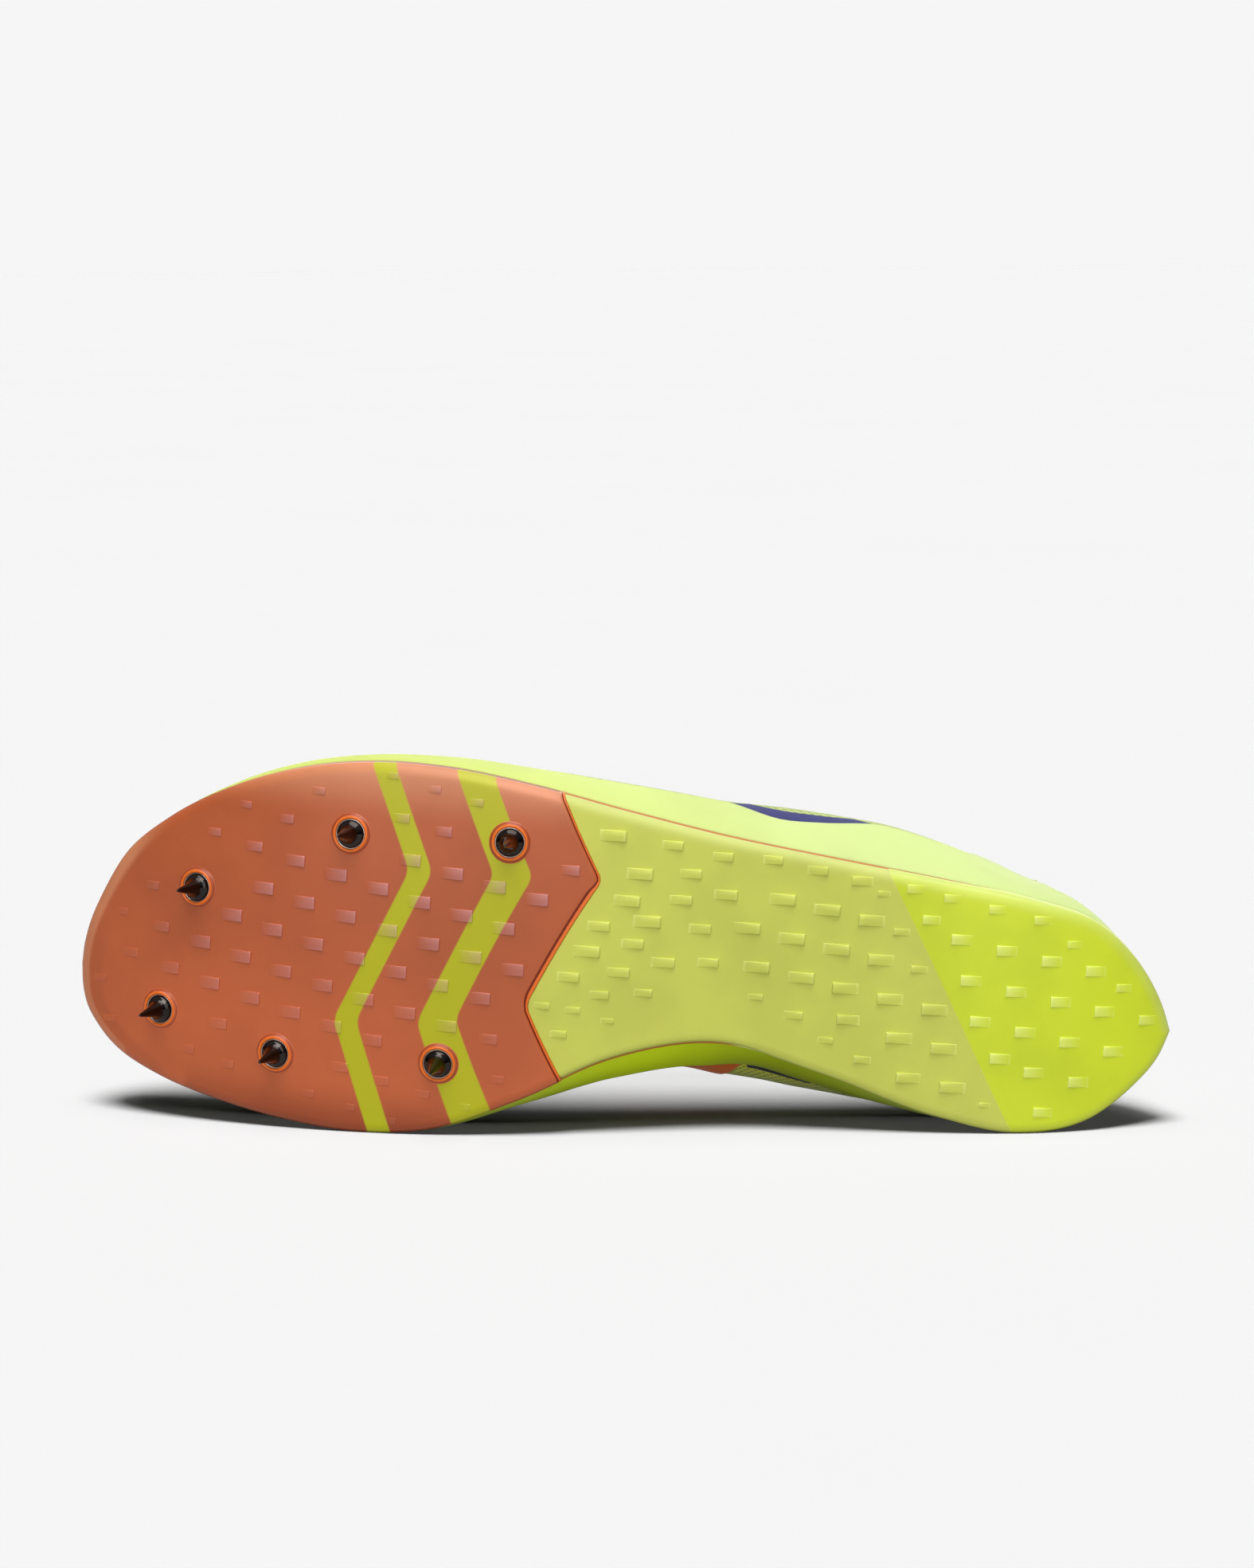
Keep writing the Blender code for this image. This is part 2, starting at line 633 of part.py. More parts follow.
def turned(name, profile, collection):
    """A closed round solid from a profile of radius and height, listed from top to bottom."""
    points = np.array([(radius, 0.0, height) for radius, height in profile])
    edges = bmesh.new()
    corners = [edges.verts.new(Vector(p) * MM) for p in points]
    for here, there in zip(corners, corners[1:]):
        edges.edges.new((here, there))
    mesh = bpy.data.meshes.new(name)
    edges.to_mesh(mesh)
    edges.free()
    made = new_object(name, mesh, collection)
    screw = made.modifiers.new("turn", "SCREW")
    screw.steps = screw.render_steps = ROUND_SIDES
    screw.use_merge_vertices = True
    screw.merge_threshold = 1e-5
    return made


SEAT_PROFILE = [(0.0, SEAT_PROUD), (SEAT_RADIUS, SEAT_PROUD), (SEAT_RADIUS, -SEAT_ROOT), (0.0, -SEAT_ROOT)]
SOCKET_PROFILE = [
    (0.0, SEAT_PROUD + 2.0),
    (RECESS_RADIUS, SEAT_PROUD + 2.0),
    (RECESS_RADIUS, -RECESS_DEPTH),
    (BORE_RADIUS, -RECESS_DEPTH),
    (BORE_RADIUS, -PLATE_BACK - 3.0),
    (0.0, -PLATE_BACK - 3.0),
]
FLANGE_BASE = GAP - RECESS_DEPTH
SPIKE_PROFILE = [
    (0.0, FLANGE_BASE + FLANGE_HEIGHT + CONE_LENGTH),
    (TIP_RADIUS, FLANGE_BASE + FLANGE_HEIGHT + CONE_LENGTH - TIP_RADIUS),
    (CONE_RADIUS, FLANGE_BASE + FLANGE_HEIGHT + 1.0),
    (FLANGE_RADIUS, FLANGE_BASE + FLANGE_HEIGHT),
    (FLANGE_RADIUS, FLANGE_BASE),
    (STUD_RADIUS, FLANGE_BASE),
    (STUD_RADIUS, FLANGE_BASE - STUD_LENGTH),
    (0.0, FLANGE_BASE - STUD_LENGTH),
]


def mesh_copies(name, profile, places, collection):
    """One mesh object that holds a turned shape at each place."""
    shape = turned(name + "_shape", profile, collection)
    graph = bpy.context.evaluated_depsgraph_get()
    mesh = bpy.data.meshes.new_from_object(shape.evaluated_get(graph))
    bpy.data.objects.remove(shape)
    joined = bmesh.new()
    for place in places:
        copy = mesh.copy()
        copy.transform(place)
        joined.from_mesh(copy)
        bpy.data.meshes.remove(copy)
    bmesh.ops.recalc_face_normals(joined, faces=joined.faces)
    made = bpy.data.meshes.new(name)
    joined.to_mesh(made)
    joined.free()
    return new_object(name, made, collection)


def cut(made, cutter, operation):
    change = made.modifiers.new(cutter.name, "BOOLEAN")
    change.operation = operation
    change.object = cutter


def make_spikes(plate, collection, cutters):
    """Seats and sockets in the plate, and a spike screwed into each."""
    places = [spike_frame(spike) for spike in SPIKES]
    cut(plate, mesh_copies("spike_seats", SEAT_PROFILE, places, cutters), "UNION")
    cut(plate, mesh_copies("spike_sockets", SOCKET_PROFILE, places, cutters), "DIFFERENCE")
    spikes = []
    for number, place in enumerate(places, 1):
        spike = turned(f"spike_{number}", SPIKE_PROFILE, collection)
        spike.matrix_world = place
        spikes.append(spike)
    return spikes


def points_of(made):
    """The object's points in the shoe's frame, as its modifiers leave them."""
    graph = bpy.context.evaluated_depsgraph_get()
    shown = made.evaluated_get(graph)
    mesh = shown.to_mesh()
    points = np.empty(len(mesh.vertices) * 3)
    mesh.vertices.foreach_get("co", points)
    shown.to_mesh_clear()
    world = np.array(made.matrix_world)
    return points.reshape(-1, 3) @ world[:3, :3].T + world[:3, 3]


def resting_turn(sole, upper):
    """Rotation that lays the shoe on its medial side: forefoot edge, heel edge and upper all touch."""
    turn = Matrix(((-1, 0, 0), (0, 0, 1), (0, 1, 0)))
    fore = sole[sole[:, 0] > 0.55 * TOE_TIP * MM]
    heel = sole[sole[:, 0] < 0.35 * TOE_TIP * MM]
    for _ in range(30):
        touch = []
        for group in (fore, heel, upper):
            laid = group @ np.array(turn).T
            touch.append(Vector(laid[laid[:, 2].argmin()]))
        normal = (touch[1] - touch[0]).cross(touch[2] - touch[0]).normalized()
        if normal.z < 0:
            normal = -normal
        turn = normal.rotation_difference(Vector((0, 0, 1))).to_matrix() @ turn
    return turn


def lay_down(parts, cutters):
    """Parents parts and their cutters to an empty that lays the shoe on the floor, over the origin."""
    bpy.context.view_layer.update()
    points = {part.name: points_of(part) for part in parts}
    sole = np.concatenate([points[name] for name in ("plate", "midfoot_pad", "heel_pad", "midsole")])
    turn = resting_turn(sole, points["upper"])
    laid = np.concatenate(list(points.values())) @ np.array(turn).T
    low, high = laid.min(axis=0), laid.max(axis=0)
    floor = low[2] + FLAT_DEPTH * MM
    place = Vector((-(low[0] + high[0]) / 2, -(low[1] + high[1]) / 2, -floor))
    ground = bpy.data.objects.new("shoe_lying", None)
    bpy.context.scene.collection.objects.link(ground)
    ground.matrix_world = Matrix.Translation(place) @ turn.to_4x4()
    bpy.context.view_layer.update()
    for part in parts + list(cutters.objects):
        part.parent = ground
    bpy.ops.mesh.primitive_cube_add(size=1.0, location=(0, 0, -0.5))
    slice_below = bpy.context.object
    slice_below.name = "floor_cutter"
    for owner in list(slice_below.users_collection):
        owner.objects.unlink(slice_below)
    cutters.objects.link(slice_below)
    for part in parts:
        if part.name in ("plate", "midfoot_pad", "heel_pad", "midsole", "upper"):
            cut(part, slice_below, "DIFFERENCE")


def main():
    for old in list(bpy.data.objects):
        bpy.data.objects.remove(old)
    shoe = bpy.data.collections.new("cross_country_spike")
    cutters = bpy.data.collections.new("cutters")
    for group in (shoe, cutters):
        bpy.context.scene.collection.children.link(group)
    zigzag, heel_line = shares_at(ZIGZAG, -GAP), shares_at(HEEL_LINE, GAP)
    plate = make_plate(shoe)
    parts = [
        plate,
        make_pad("midfoot_pad", heel_line, zigzag, PAD_FACE, MIDFOOT_ROWS, shoe),
        make_pad("heel_pad", np.zeros(len(ACROSS)), shares_at(HEEL_LINE), HEEL_FACE, HEEL_ROWS, shoe, True),
        make_midsole(shoe),
        make_insole(shoe),
        make_upper(shoe),
        make_tongue(shoe),
        make_lace(shoe, cutters),
    ]
    parts += make_spikes(plate, shoe, cutters)
    for part in parts:
        finish(part, "spike" if part.name.startswith("spike") else part.name)
    lay_down(parts, cutters)
    for helper in cutters.objects:
        helper.hide_render = True
        helper.display_type = "WIRE"


main()
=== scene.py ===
"""Looks of a cross country spike: one left shoe, empty, lying on its medial side.

Sizes are millimetres in the shoe's own frame, where x runs from heel to toe, y from medial to lateral and z
up from the sole. laid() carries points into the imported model's frame, in metres, with the floor at z = 0.
"""

import math
from collections import namedtuple

import bmesh
import bpy
import numpy as np
from bpy.props import FloatProperty, FloatVectorProperty, PointerProperty
from mathutils import Matrix, Vector


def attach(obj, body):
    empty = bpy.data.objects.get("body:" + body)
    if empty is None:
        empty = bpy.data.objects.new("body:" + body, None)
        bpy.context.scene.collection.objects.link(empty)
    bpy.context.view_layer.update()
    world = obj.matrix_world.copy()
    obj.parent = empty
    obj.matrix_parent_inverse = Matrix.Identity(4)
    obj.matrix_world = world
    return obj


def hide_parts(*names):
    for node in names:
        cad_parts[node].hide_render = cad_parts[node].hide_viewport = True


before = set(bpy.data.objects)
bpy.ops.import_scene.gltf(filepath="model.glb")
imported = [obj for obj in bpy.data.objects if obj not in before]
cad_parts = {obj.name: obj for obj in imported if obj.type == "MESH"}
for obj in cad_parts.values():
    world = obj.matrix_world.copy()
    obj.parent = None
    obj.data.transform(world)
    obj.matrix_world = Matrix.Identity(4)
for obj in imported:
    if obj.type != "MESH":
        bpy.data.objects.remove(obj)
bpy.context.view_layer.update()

bl_info = {
    "name": "Cross Country Spike",
    "version": (1, 0, 0),
    "blender": (4, 5, 0),
    "location": "3D View > Sidebar > Spike Shoe",
    "description": "Builds the looks of a cross country spike around its packed frame",
    "category": "Object",
}

MM = 0.001

# Sole sizes, as in the frame.
HEEL_TIP = -3.3
TOE_TIP = 286.3
TOE_SPRING = 40.1
SPRING_START = 148.0
HEEL_BEVEL = 8.0
BEVEL_END = 45.0
CROWN = 2.6
BALL_WIDTH = 96.0
ARCH_RISE = 3.0
ARCH_PLACE = 108.0
ARCH_SPREAD = 34.0
EDGE_ROLL = 1.2
ROLL_WIDTH = 3.0

# Heights of the sole's layers over its outer face.
PAD_FACE = 0.8
HEEL_FACE = 0.5
PAD_BACK = 2.3
PLATE_STEP = 2.6
PLATE_BACK = 4.0
FOAM_FACE = 4.3
FOOTBED_DISH = 3.0
INSOLE_THICK = 3.0
INSOLE_MARGIN = 3.6
INSOLE_LIFT = 0.6

# Upper, tongue and lace.
WALL = 1.6
FEATHER_INSET = 1.2
FEATHER_LIFT = 1.0
TONGUE_THICK = 2.4
TONGUE_DROP = 2.5
THROAT_CROWN = 5.0
EYELET_ROWS = (0.485, 0.565, 0.645, 0.725, 0.805, 0.88)
EYELET_PLACE = 0.88
LACE_CLEAR = 2.0
LACE_SAG = 0.4

# Spikes and their seats.
SEAT_RADIUS = 4.95
SEAT_PROUD = 0.9
FLANGE_RADIUS = 3.75
FLANGE_HEIGHT = 1.0
CONE_RADIUS = 2.7
CONE_LENGTH = 9.5
TIP_RADIUS = 0.35
STUD_RADIUS = 2.25
STUD_LENGTH = 3.2

# Outline of the sole: the two edges at each section from heel to toe.
Section = namedtuple("Section", "x medial lateral")
SECTIONS = [
    Section(HEEL_TIP, -1.6, -1.6),
    Section(-0.8, -8.0, 4.9),
    Section(6.3, -16.9, 16.2),
    Section(18.0, -25.8, 26.6),
    Section(36.0, -29.7, 32.1),
    Section(58.0, -26.5, 35.6),
    Section(88.0, -17.4, 39.8),
    Section(117.0, -11.3, 44.1),
    Section(143.0, -16.9, 49.1),
    Section(167.0, -29.2, 53.9),
    Section(190.0, -38.9, 56.8),
    Section(210.0, -41.4, 56.6),
    Section(230.0, -40.2, 52.9),
    Section(247.0, -37.5, 46.3),
    Section(263.0, -33.4, 36.7),
    Section(275.0, -27.9, 25.4),
    Section(281.0, -22.2, 14.2),
    Section(284.4, -17.0, 5.6),
    Section(285.8, -12.0, -0.5),
    Section(TOE_TIP, -6.0, -6.0),
]

# Bite line, where the upper meets the foam: its height over the sole's face, how far the foam flares out
# past the sole's edge, and how the upper leaves it: a lean away from upright in degrees, felt over its rise.
Bite = namedtuple("Bite", "x height flare_medial flare_lateral lean_medial lean_lateral rise")
BITES = [
    Bite(HEEL_TIP, 22.5, -4.0, -4.0, 10.0, 10.0, 19.0),
    Bite(6.0, 22.5, -1.5, -0.2, 8.0, 4.0, 18.0),
    Bite(18.0, 22.0, 0.0, 1.8, 8.0, 4.0, 17.0),
    Bite(38.0, 21.5, 0.4, 2.8, 12.0, 4.0, 16.0),
    Bite(60.0, 20.5, 3.0, 7.2, 20.0, 4.0, 16.0),
    Bite(78.0, 19.9, 6.1, 8.8, 24.5, 8.0, 17.4),
    Bite(92.0, 19.45, 6.7, 6.4, 29.5, 23.0, 18.3),
    Bite(102.0, 19.05, 7.0, 5.2, 34.5, 27.0, 19.0),
    Bite(117.0, 18.5, 9.5, 6.8, 27.0, 4.0, 20.0),
    Bite(127.0, 17.95, 9.3, 6.35, 15.0, 4.0, 20.8),
    Bite(143.0, 17.0, 8.2, 5.1, 14.0, 4.0, 22.0),
    Bite(170.0, 15.5, 3.2, 2.5, 5.0, 3.0, 22.0),
    Bite(205.0, 13.5, 0.0, 0.6, 2.0, 3.0, 20.0),
    Bite(247.0, 11.5, 0.0, 0.2, 14.0, 12.0, 17.0),
    Bite(TOE_TIP, 9.5, -0.5, -0.5, 30.0, 30.0, 19.0),
]

# Topline of the upper, from the heel round the collar and down the throat to the vamp: the share of the way,
# the place, and how the skin arrives: a lean inwards from upright in degrees, felt back over its reach.
Top = namedtuple("Top", "share x medial lateral z lean reach")
TOPLINE = [
    Top(0.00, 9.0, -0.3, -0.3, 77.0, 14.0, 20.0),
    Top(0.04, 10.6, -8.8, 8.4, 76.6, 14.0, 20.0),
    Top(0.11, 22.0, -18.2, 18.4, 74.0, 14.0, 18.0),
    Top(0.22, 48.0, -26.0, 28.0, 65.0, 16.0, 15.0),
    Top(0.32, 75.0, -27.5, 32.5, 60.0, 20.0, 14.0),
    Top(0.40, 98.0, -22.5, 30.5, 65.5, 26.0, 16.0),
    Top(0.46, 116.0, -14.0, 23.5, 80.0, 40.0, 20.0),
    Top(0.56, 138.0, -11.5, 23.0, 75.5, 48.0, 22.0),
    Top(0.68, 163.0, -8.5, 21.5, 69.0, 55.0, 23.0),
    Top(0.80, 185.0, -4.5, 19.0, 63.5, 60.0, 25.0),
    Top(0.90, 198.0, -0.6, 15.6, 60.5, 70.0, 31.0),
    Top(0.96, 202.4, 3.3, 11.7, 59.7, 78.0, 37.0),
    Top(1.00, 203.3, 7.5, 7.5, 59.5, 80.0, 40.0),
]

# Lines across the sole: x at each share of its width from medial to lateral.
Cross = namedtuple("Cross", "across x")
ZIGZAG = [Cross(0.0, 155.3), Cross(0.31, 165.9), Cross(0.72, 148.0), Cross(1.0, 159.3)]
HEEL_LINE = [Cross(0.0, 37.4), Cross(1.0, 74.6)]
CORNER_ROUND = 0.022

# Places of the six spikes on the sole's face.
Spike = namedtuple("Spike", "x y")
SPIKES = [
    Spike(254.3, 19.1),
    Spike(263.0, -14.8),
    Spike(213.8, 37.8),
    Spike(172.3, 39.2),
    Spike(187.8, -20.3),
    Spike(231.0, -22.4),
]

# Rows of nubs on each zone of the sole: one nub's place, the steps along and between rows, its length, width
# and height, the clear margin inside the zone, and how small a nub is there and how far in it is full grown.
Nubs = namedtuple("Nubs", "x y along between length width height margin small grown")
PLATE_NUBS = Nubs(239.4, 31.8, (11.1, 2.5), (2.9, 10.65), 6.0, 3.2, 0.55, 2.1, 0.52, 28.0)
MIDFOOT_NUBS = Nubs(101.3, 28.6, (11.7, 2.05), (3.05, 10.15), 6.8, 2.9, 0.85, 2.7, 0.7, 6.3)
HEEL_NUBS = Nubs(42.5, 18.7, (11.9, 2.2), (3.12, 10.55), 5.4, 2.7, 0.45, 3.0, 0.7, 6.6)
NUB_TURN_X = 86.0
FRONT_START = 112.5
Nub = namedtuple("Nub", "x y size")
FRONT_NUBS = [
    Nub(145.9, 42.6, 1.0),
    Nub(130.4, 41.0, 0.8),
    Nub(117.3, 38.8, 0.78),
    Nub(138.5, 33.1, 1.0),
    Nub(125.3, 33.9, 0.82),
    Nub(141.4, 25.9, 1.0),
    Nub(127.5, 26.9, 0.85),
    Nub(116.0, 28.9, 0.9),
    Nub(135.9, 20.8, 1.05),
    Nub(148.3, 18.9, 0.85),
    Nub(122.1, 19.6, 0.85),
    Nub(139.3, 14.7, 0.85),
    Nub(151.0, 12.1, 1.0),
    Nub(131.1, 10.2, 0.9),
    Nub(119.5, 10.8, 0.8),
    Nub(142.5, 7.0, 0.85),
    Nub(155.4, 5.1, 0.85),
    Nub(147.1, 0.8, 0.75),
    Nub(135.8, 1.9, 0.7),
    Nub(161.8, -2.9, 0.6),
    Nub(153.7, -3.6, 0.6),
    Nub(157.1, -10.2, 0.65),
    Nub(144.6, -6.0, 0.5),
]
BACK_NUBS = [
    Nub(75.15, 31.7, 0.5),
    Nub(70.0, 22.0, 0.63),
    Nub(64.8, 12.5, 0.65),
    Nub(45.3, -22.3, 0.45),
    Nub(106.6, 2.4, 0.58),
    Nub(96.5, -1.8, 0.72),
    Nub(82.2, -2.0, 0.88),
    Nub(87.7, -7.9, 0.6),
    Nub(77.8, -12.4, 0.67),
    Nub(65.6, -16.4, 0.93),
]
ARCH_BARE = (95.0, -6.0)
HEEL_RIM_NUBS = [
    Nub(67.1, 33.4, 0.82),
    Nub(62.5, 25.6, 0.85),
    Nub(42.3, -9.7, 1.0),
    Nub(24.8, 21.1, 0.72),
    Nub(10.9, 10.0, 0.75),
]
NUB_SPACING = 6.3
SPIKE_CLEARANCE = 9.0

# Distances from an edge at which a layer's rim has its columns.
RIM = np.array([0.0, 0.1, 0.28, 0.55, 0.9, 1.4, 2.1, 3.0, 4.0])


def smooth(knots, values, at):
    """Reads a smooth curve through values at the knots, at the places in at."""
    knots = np.asarray(knots, float)
    values = np.asarray(values, float)
    at = np.asarray(at, float)
    slopes = np.gradient(values, knots, axis=0)
    i = np.clip(np.searchsorted(knots, at, side="right") - 1, 0, len(knots) - 2)
    step = knots[i + 1] - knots[i]
    t = (at - knots[i]) / step
    if values.ndim > 1:
        t = t.reshape(t.shape + (1,) * (values.ndim - 1))
        step = step.reshape(step.shape + (1,) * (values.ndim - 1))
    back = (1 + 2 * t) * (1 - t) ** 2 * values[i] + t * (1 - t) ** 2 * step * slopes[i]
    return back + t * t * (3 - 2 * t) * values[i + 1] + t * t * (t - 1) * step * slopes[i + 1]


def column(table, key, name, at):
    """One column of a table as a smooth curve over another, its key."""
    return smooth([getattr(row, key) for row in table], [getattr(row, name) for row in table], at)


def unit(vectors):
    return vectors / np.maximum(np.linalg.norm(vectors, axis=-1, keepdims=True), 1e-9)


def edge_knots():
    """Each section's share of the way from heel to toe, along the mean of the two edges."""
    medial = np.array([(row.x, row.medial) for row in SECTIONS])
    lateral = np.array([(row.x, row.lateral) for row in SECTIONS])
    steps = np.linalg.norm(np.diff(medial, axis=0), axis=1) + np.linalg.norm(np.diff(lateral, axis=0), axis=1)
    along = np.concatenate([[0.0], np.cumsum(steps)])
    return along / along[-1]


KNOTS = edge_knots()


def edge(share, side):
    """Plan place of the sole's edge: side is 1 on the lateral edge and -1 on the medial one."""
    name = "lateral" if side > 0 else "medial"
    return smooth(KNOTS, [(row.x, getattr(row, name)) for row in SECTIONS], share)


SHARES = np.linspace(0.0, 1.0, 4001)
LENGTHWAYS = edge(SHARES, 1)[:, 0]
OUTLINE = np.concatenate([edge(np.linspace(0, 1, 260), 1), edge(np.linspace(1, 0, 260)[1:-1], -1)])


def share_at(x):
    """Share of the way from heel to toe where the sole's lines across it reach x."""
    return np.interp(x, LENGTHWAYS, SHARES)


def to_edge(place):
    """Distance in plan from points to the sole's outline."""
    flat = place.reshape(-1, 2)
    best = np.full(len(flat), np.inf)
    for start, step in zip(OUTLINE, np.roll(OUTLINE, -1, axis=0) - OUTLINE):
        t = np.clip(((flat - start) @ step) / (step @ step), 0, 1)
        best = np.minimum(best, ((flat - start - t[:, None] * step) ** 2).sum(axis=1))
    return np.sqrt(best).reshape(place.shape[:-1])


def outward(share, side):
    """Plan direction out of the sole at its edge."""
    share = np.asarray(share, float)
    step = 0.004
    run = edge(np.clip(share + step, 0, 1), side) - edge(np.clip(share - step, 0, 1), side)
    out = unit(side * np.stack([-run[..., 1], run[..., 0]], axis=-1))
    out[share <= 0] = (-1, 0)
    out[share >= 1] = (1, 0)
    return out


def plan(share, across):
    """Plan place at a share of the length and a share of the width, from medial to lateral."""
    across = np.asarray(across, float)[..., None]
    return edge(share, -1) * (1 - across) + edge(share, 1) * across


def width_at(share):
    return np.linalg.norm(edge(share, 1) - edge(share, -1), axis=-1)


def rocker(x):
    """Height of the sole's face along its middle: toe spring and heel bevel."""
    spring = np.clip((x - SPRING_START) / (TOE_TIP - SPRING_START), 0, None)
    bevel = np.clip((BEVEL_END - x) / BEVEL_END, 0, None)
    return TOE_SPRING * spring**2 + HEEL_BEVEL * bevel**2


def upright(x):
    """Direction square to the rocker, in which the sole's layers are stacked."""
    step = 0.5
    slope = (rocker(x + step) - rocker(x - step)) / (2 * step)
    return unit(np.stack([-slope, np.zeros_like(slope), np.ones_like(slope)], axis=-1))


def sole_face(share, across):
    """Point of the sole's outer face, rolled up along its edge."""
    share, across = np.broadcast_arrays(np.asarray(share, float), np.asarray(across, float))
    place = plan(share, across)
    roll = EDGE_ROLL * np.clip(1 - to_edge(place) / ROLL_WIDTH, 0, None) ** 2
    crown = CROWN * ((2 * across - 1) * width_at(share) / BALL_WIDTH) ** 2
    arch = ARCH_RISE * (1 - across) * np.exp(-(((place[..., 0] - ARCH_PLACE) / ARCH_SPREAD) ** 2))
    height = rocker(place[..., 0]) + roll + crown + arch
    return np.concatenate([place, height[..., None]], axis=-1)


def layer(share, across, height):
    """Point of the sole at a height over its outer face."""
    face = sole_face(share, across)
    return face + upright(face[..., 0]) * np.asarray(height, float)[..., None]


def across_at(x, y):
    """Share of the sole's width at a plan place."""
    share = share_at(x)
    low, high = edge(share, -1)[..., 1], edge(share, 1)[..., 1]
    return (y - low) / np.maximum(high - low, 1e-6)


def bite(share, side, inset=0.0, lift=0.0):
    """Point of the bite line, moved in from it and up."""
    face = sole_face(share, np.full(np.shape(share), 0.5 + 0.5 * side))
    x = face[..., 0]
    flare = column(BITES, "x", "flare_lateral" if side > 0 else "flare_medial", x) - inset
    raised = face + upright(x) * (column(BITES, "x", "height", x) + lift)[..., None]
    raised[..., :2] += outward(share, side) * flare[..., None]
    return raised


def topline(share, side):
    name = "lateral" if side > 0 else "medial"
    return np.stack([column(TOPLINE, "share", axis, share) for axis in ("x", name, "z")], axis=-1)


def inward(share, side):
    """Plan direction into the opening at the topline."""
    share = np.asarray(share, float)
    step = 0.004
    run = topline(np.clip(share + step, 0, 1), side) - topline(np.clip(share - step, 0, 1), side)
    turned = unit(side * np.stack([run[..., 1], -run[..., 0]], axis=-1))
    turned[share <= 0] = (1, 0)
    turned[share >= 1] = (-1, 0)
    return turned


def side_skin(share, side, up):
    """Point of one side of the upper: share runs heel to toe, up from the bite line to the topline."""
    share, up = np.broadcast_arrays(np.asarray(share, float), np.asarray(up, float))
    foot = bite(share, side, FEATHER_INSET, FEATHER_LIFT)
    x = foot[..., 0]
    lean = np.radians(column(BITES, "x", "lean_lateral" if side > 0 else "lean_medial", x))[..., None]
    out = np.concatenate([outward(share, side), np.zeros(share.shape + (1,))], axis=-1)
    leave = upright(x) * np.cos(lean) + out * np.sin(lean)
    head = topline(share, side)
    tilt = np.radians(column(TOPLINE, "share", "lean", share))[..., None]
    into = np.concatenate([inward(share, side), np.zeros(share.shape + (1,))], axis=-1)
    arrive = np.array([0.0, 0.0, 1.0]) * np.cos(tilt) + into * np.sin(tilt)
    first = foot + leave * column(BITES, "x", "rise", x)[..., None]
    second = head - arrive * column(TOPLINE, "share", "reach", share)[..., None]
    t = up[..., None]
    return (1 - t) ** 3 * foot + 3 * t * (1 - t) ** 2 * first + 3 * t * t * (1 - t) * second + t**3 * head


SKIN_RINGS = np.linspace(-0.5, 1.5, 801)
SKIN_UPS = np.linspace(-0.06, 1.0, 81)
HEEL_ROUND = 0.04
HEEL_PASSES = 90


def rounded_heel(net):
    """The net with the corner that it has from the sole's heel rounded off above the bite line."""
    near = np.exp(-((SKIN_RINGS / HEEL_ROUND) ** 2)) * np.clip(SKIN_UPS[:, None] / 0.06, 0, 1)
    for _ in range(HEEL_PASSES):
        eased = (np.roll(net, 1, axis=1) + 2 * net + np.roll(net, -1, axis=1)) / 4
        net = net + (eased - net) * near[..., None]
    return net


def skin_table():
    """Points of the upper's skin on a fine net, from the medial waist round the heel and the toe."""
    lateral = SKIN_RINGS[(SKIN_RINGS >= 0) & (SKIN_RINGS <= 1)]
    heel = -SKIN_RINGS[SKIN_RINGS < 0]
    toe = 2 - SKIN_RINGS[SKIN_RINGS > 1]
    ups = SKIN_UPS[:, None]
    parts = [side_skin(heel[None], -1, ups), side_skin(lateral[None], 1, ups), side_skin(toe[None], -1, ups)]
    return rounded_heel(np.concatenate(parts, axis=1))


SKIN = skin_table()
SKIN_OUT = unit(np.cross(np.gradient(SKIN, axis=0), np.gradient(SKIN, axis=1)))


def read_net(net, ring, up):
    """Reads a net of points by straight lines between them. Ring 0 is the heel, 1 the toe, 2 the heel again."""
    ring = np.mod(np.asarray(ring, float) + 0.5, 2.0) - 0.5
    ring, up = np.broadcast_arrays(ring, np.asarray(up, float))
    c = (ring - SKIN_RINGS[0]) / (SKIN_RINGS[1] - SKIN_RINGS[0])
    r = np.clip((up - SKIN_UPS[0]) / (SKIN_UPS[1] - SKIN_UPS[0]), 0, len(SKIN_UPS) - 1.001)
    i, j = np.floor(r).astype(int), np.clip(np.floor(c).astype(int), 0, len(SKIN_RINGS) - 2)
    s, t = (r - i)[..., None], (c - j)[..., None]
    low = net[i, j] * (1 - t) + net[i, j + 1] * t
    return low * (1 - s) + (net[i + 1, j] * (1 - t) + net[i + 1, j + 1] * t) * s


def skin(ring, up, proud=0.0):
    """Point of the upper's skin, or a distance out from it."""
    out = unit(read_net(SKIN_OUT, ring, up))
    return read_net(SKIN, ring, up) + out * np.asarray(proud, float)[..., None]


def ring_of(share, side):
    return share if side > 0 else 2 - share


def throat(share, across, drop):
    """Point of the instep across the throat, across 0 on the medial edge and 1 on the lateral one."""
    share, across = np.broadcast_arrays(np.asarray(share, float), np.asarray(across, float))
    medial, lateral = topline(share, -1), topline(share, 1)
    step = 0.02
    middle = lambda s: (topline(s, -1) + topline(s, 1)) / 2
    run = unit(middle(np.clip(share - step, 0, 1)) - middle(np.clip(share + step, 0, 1)))
    up = unit(np.cross(unit(lateral - medial), run))
    up = up * np.sign(up[..., 2:])
    t = across[..., None]
    crown = 4 * t * (1 - t) * THROAT_CROWN * np.linalg.norm(lateral - medial, axis=-1, keepdims=True) / 36.0
    return medial * (1 - t) + lateral * t + up * (crown - drop)


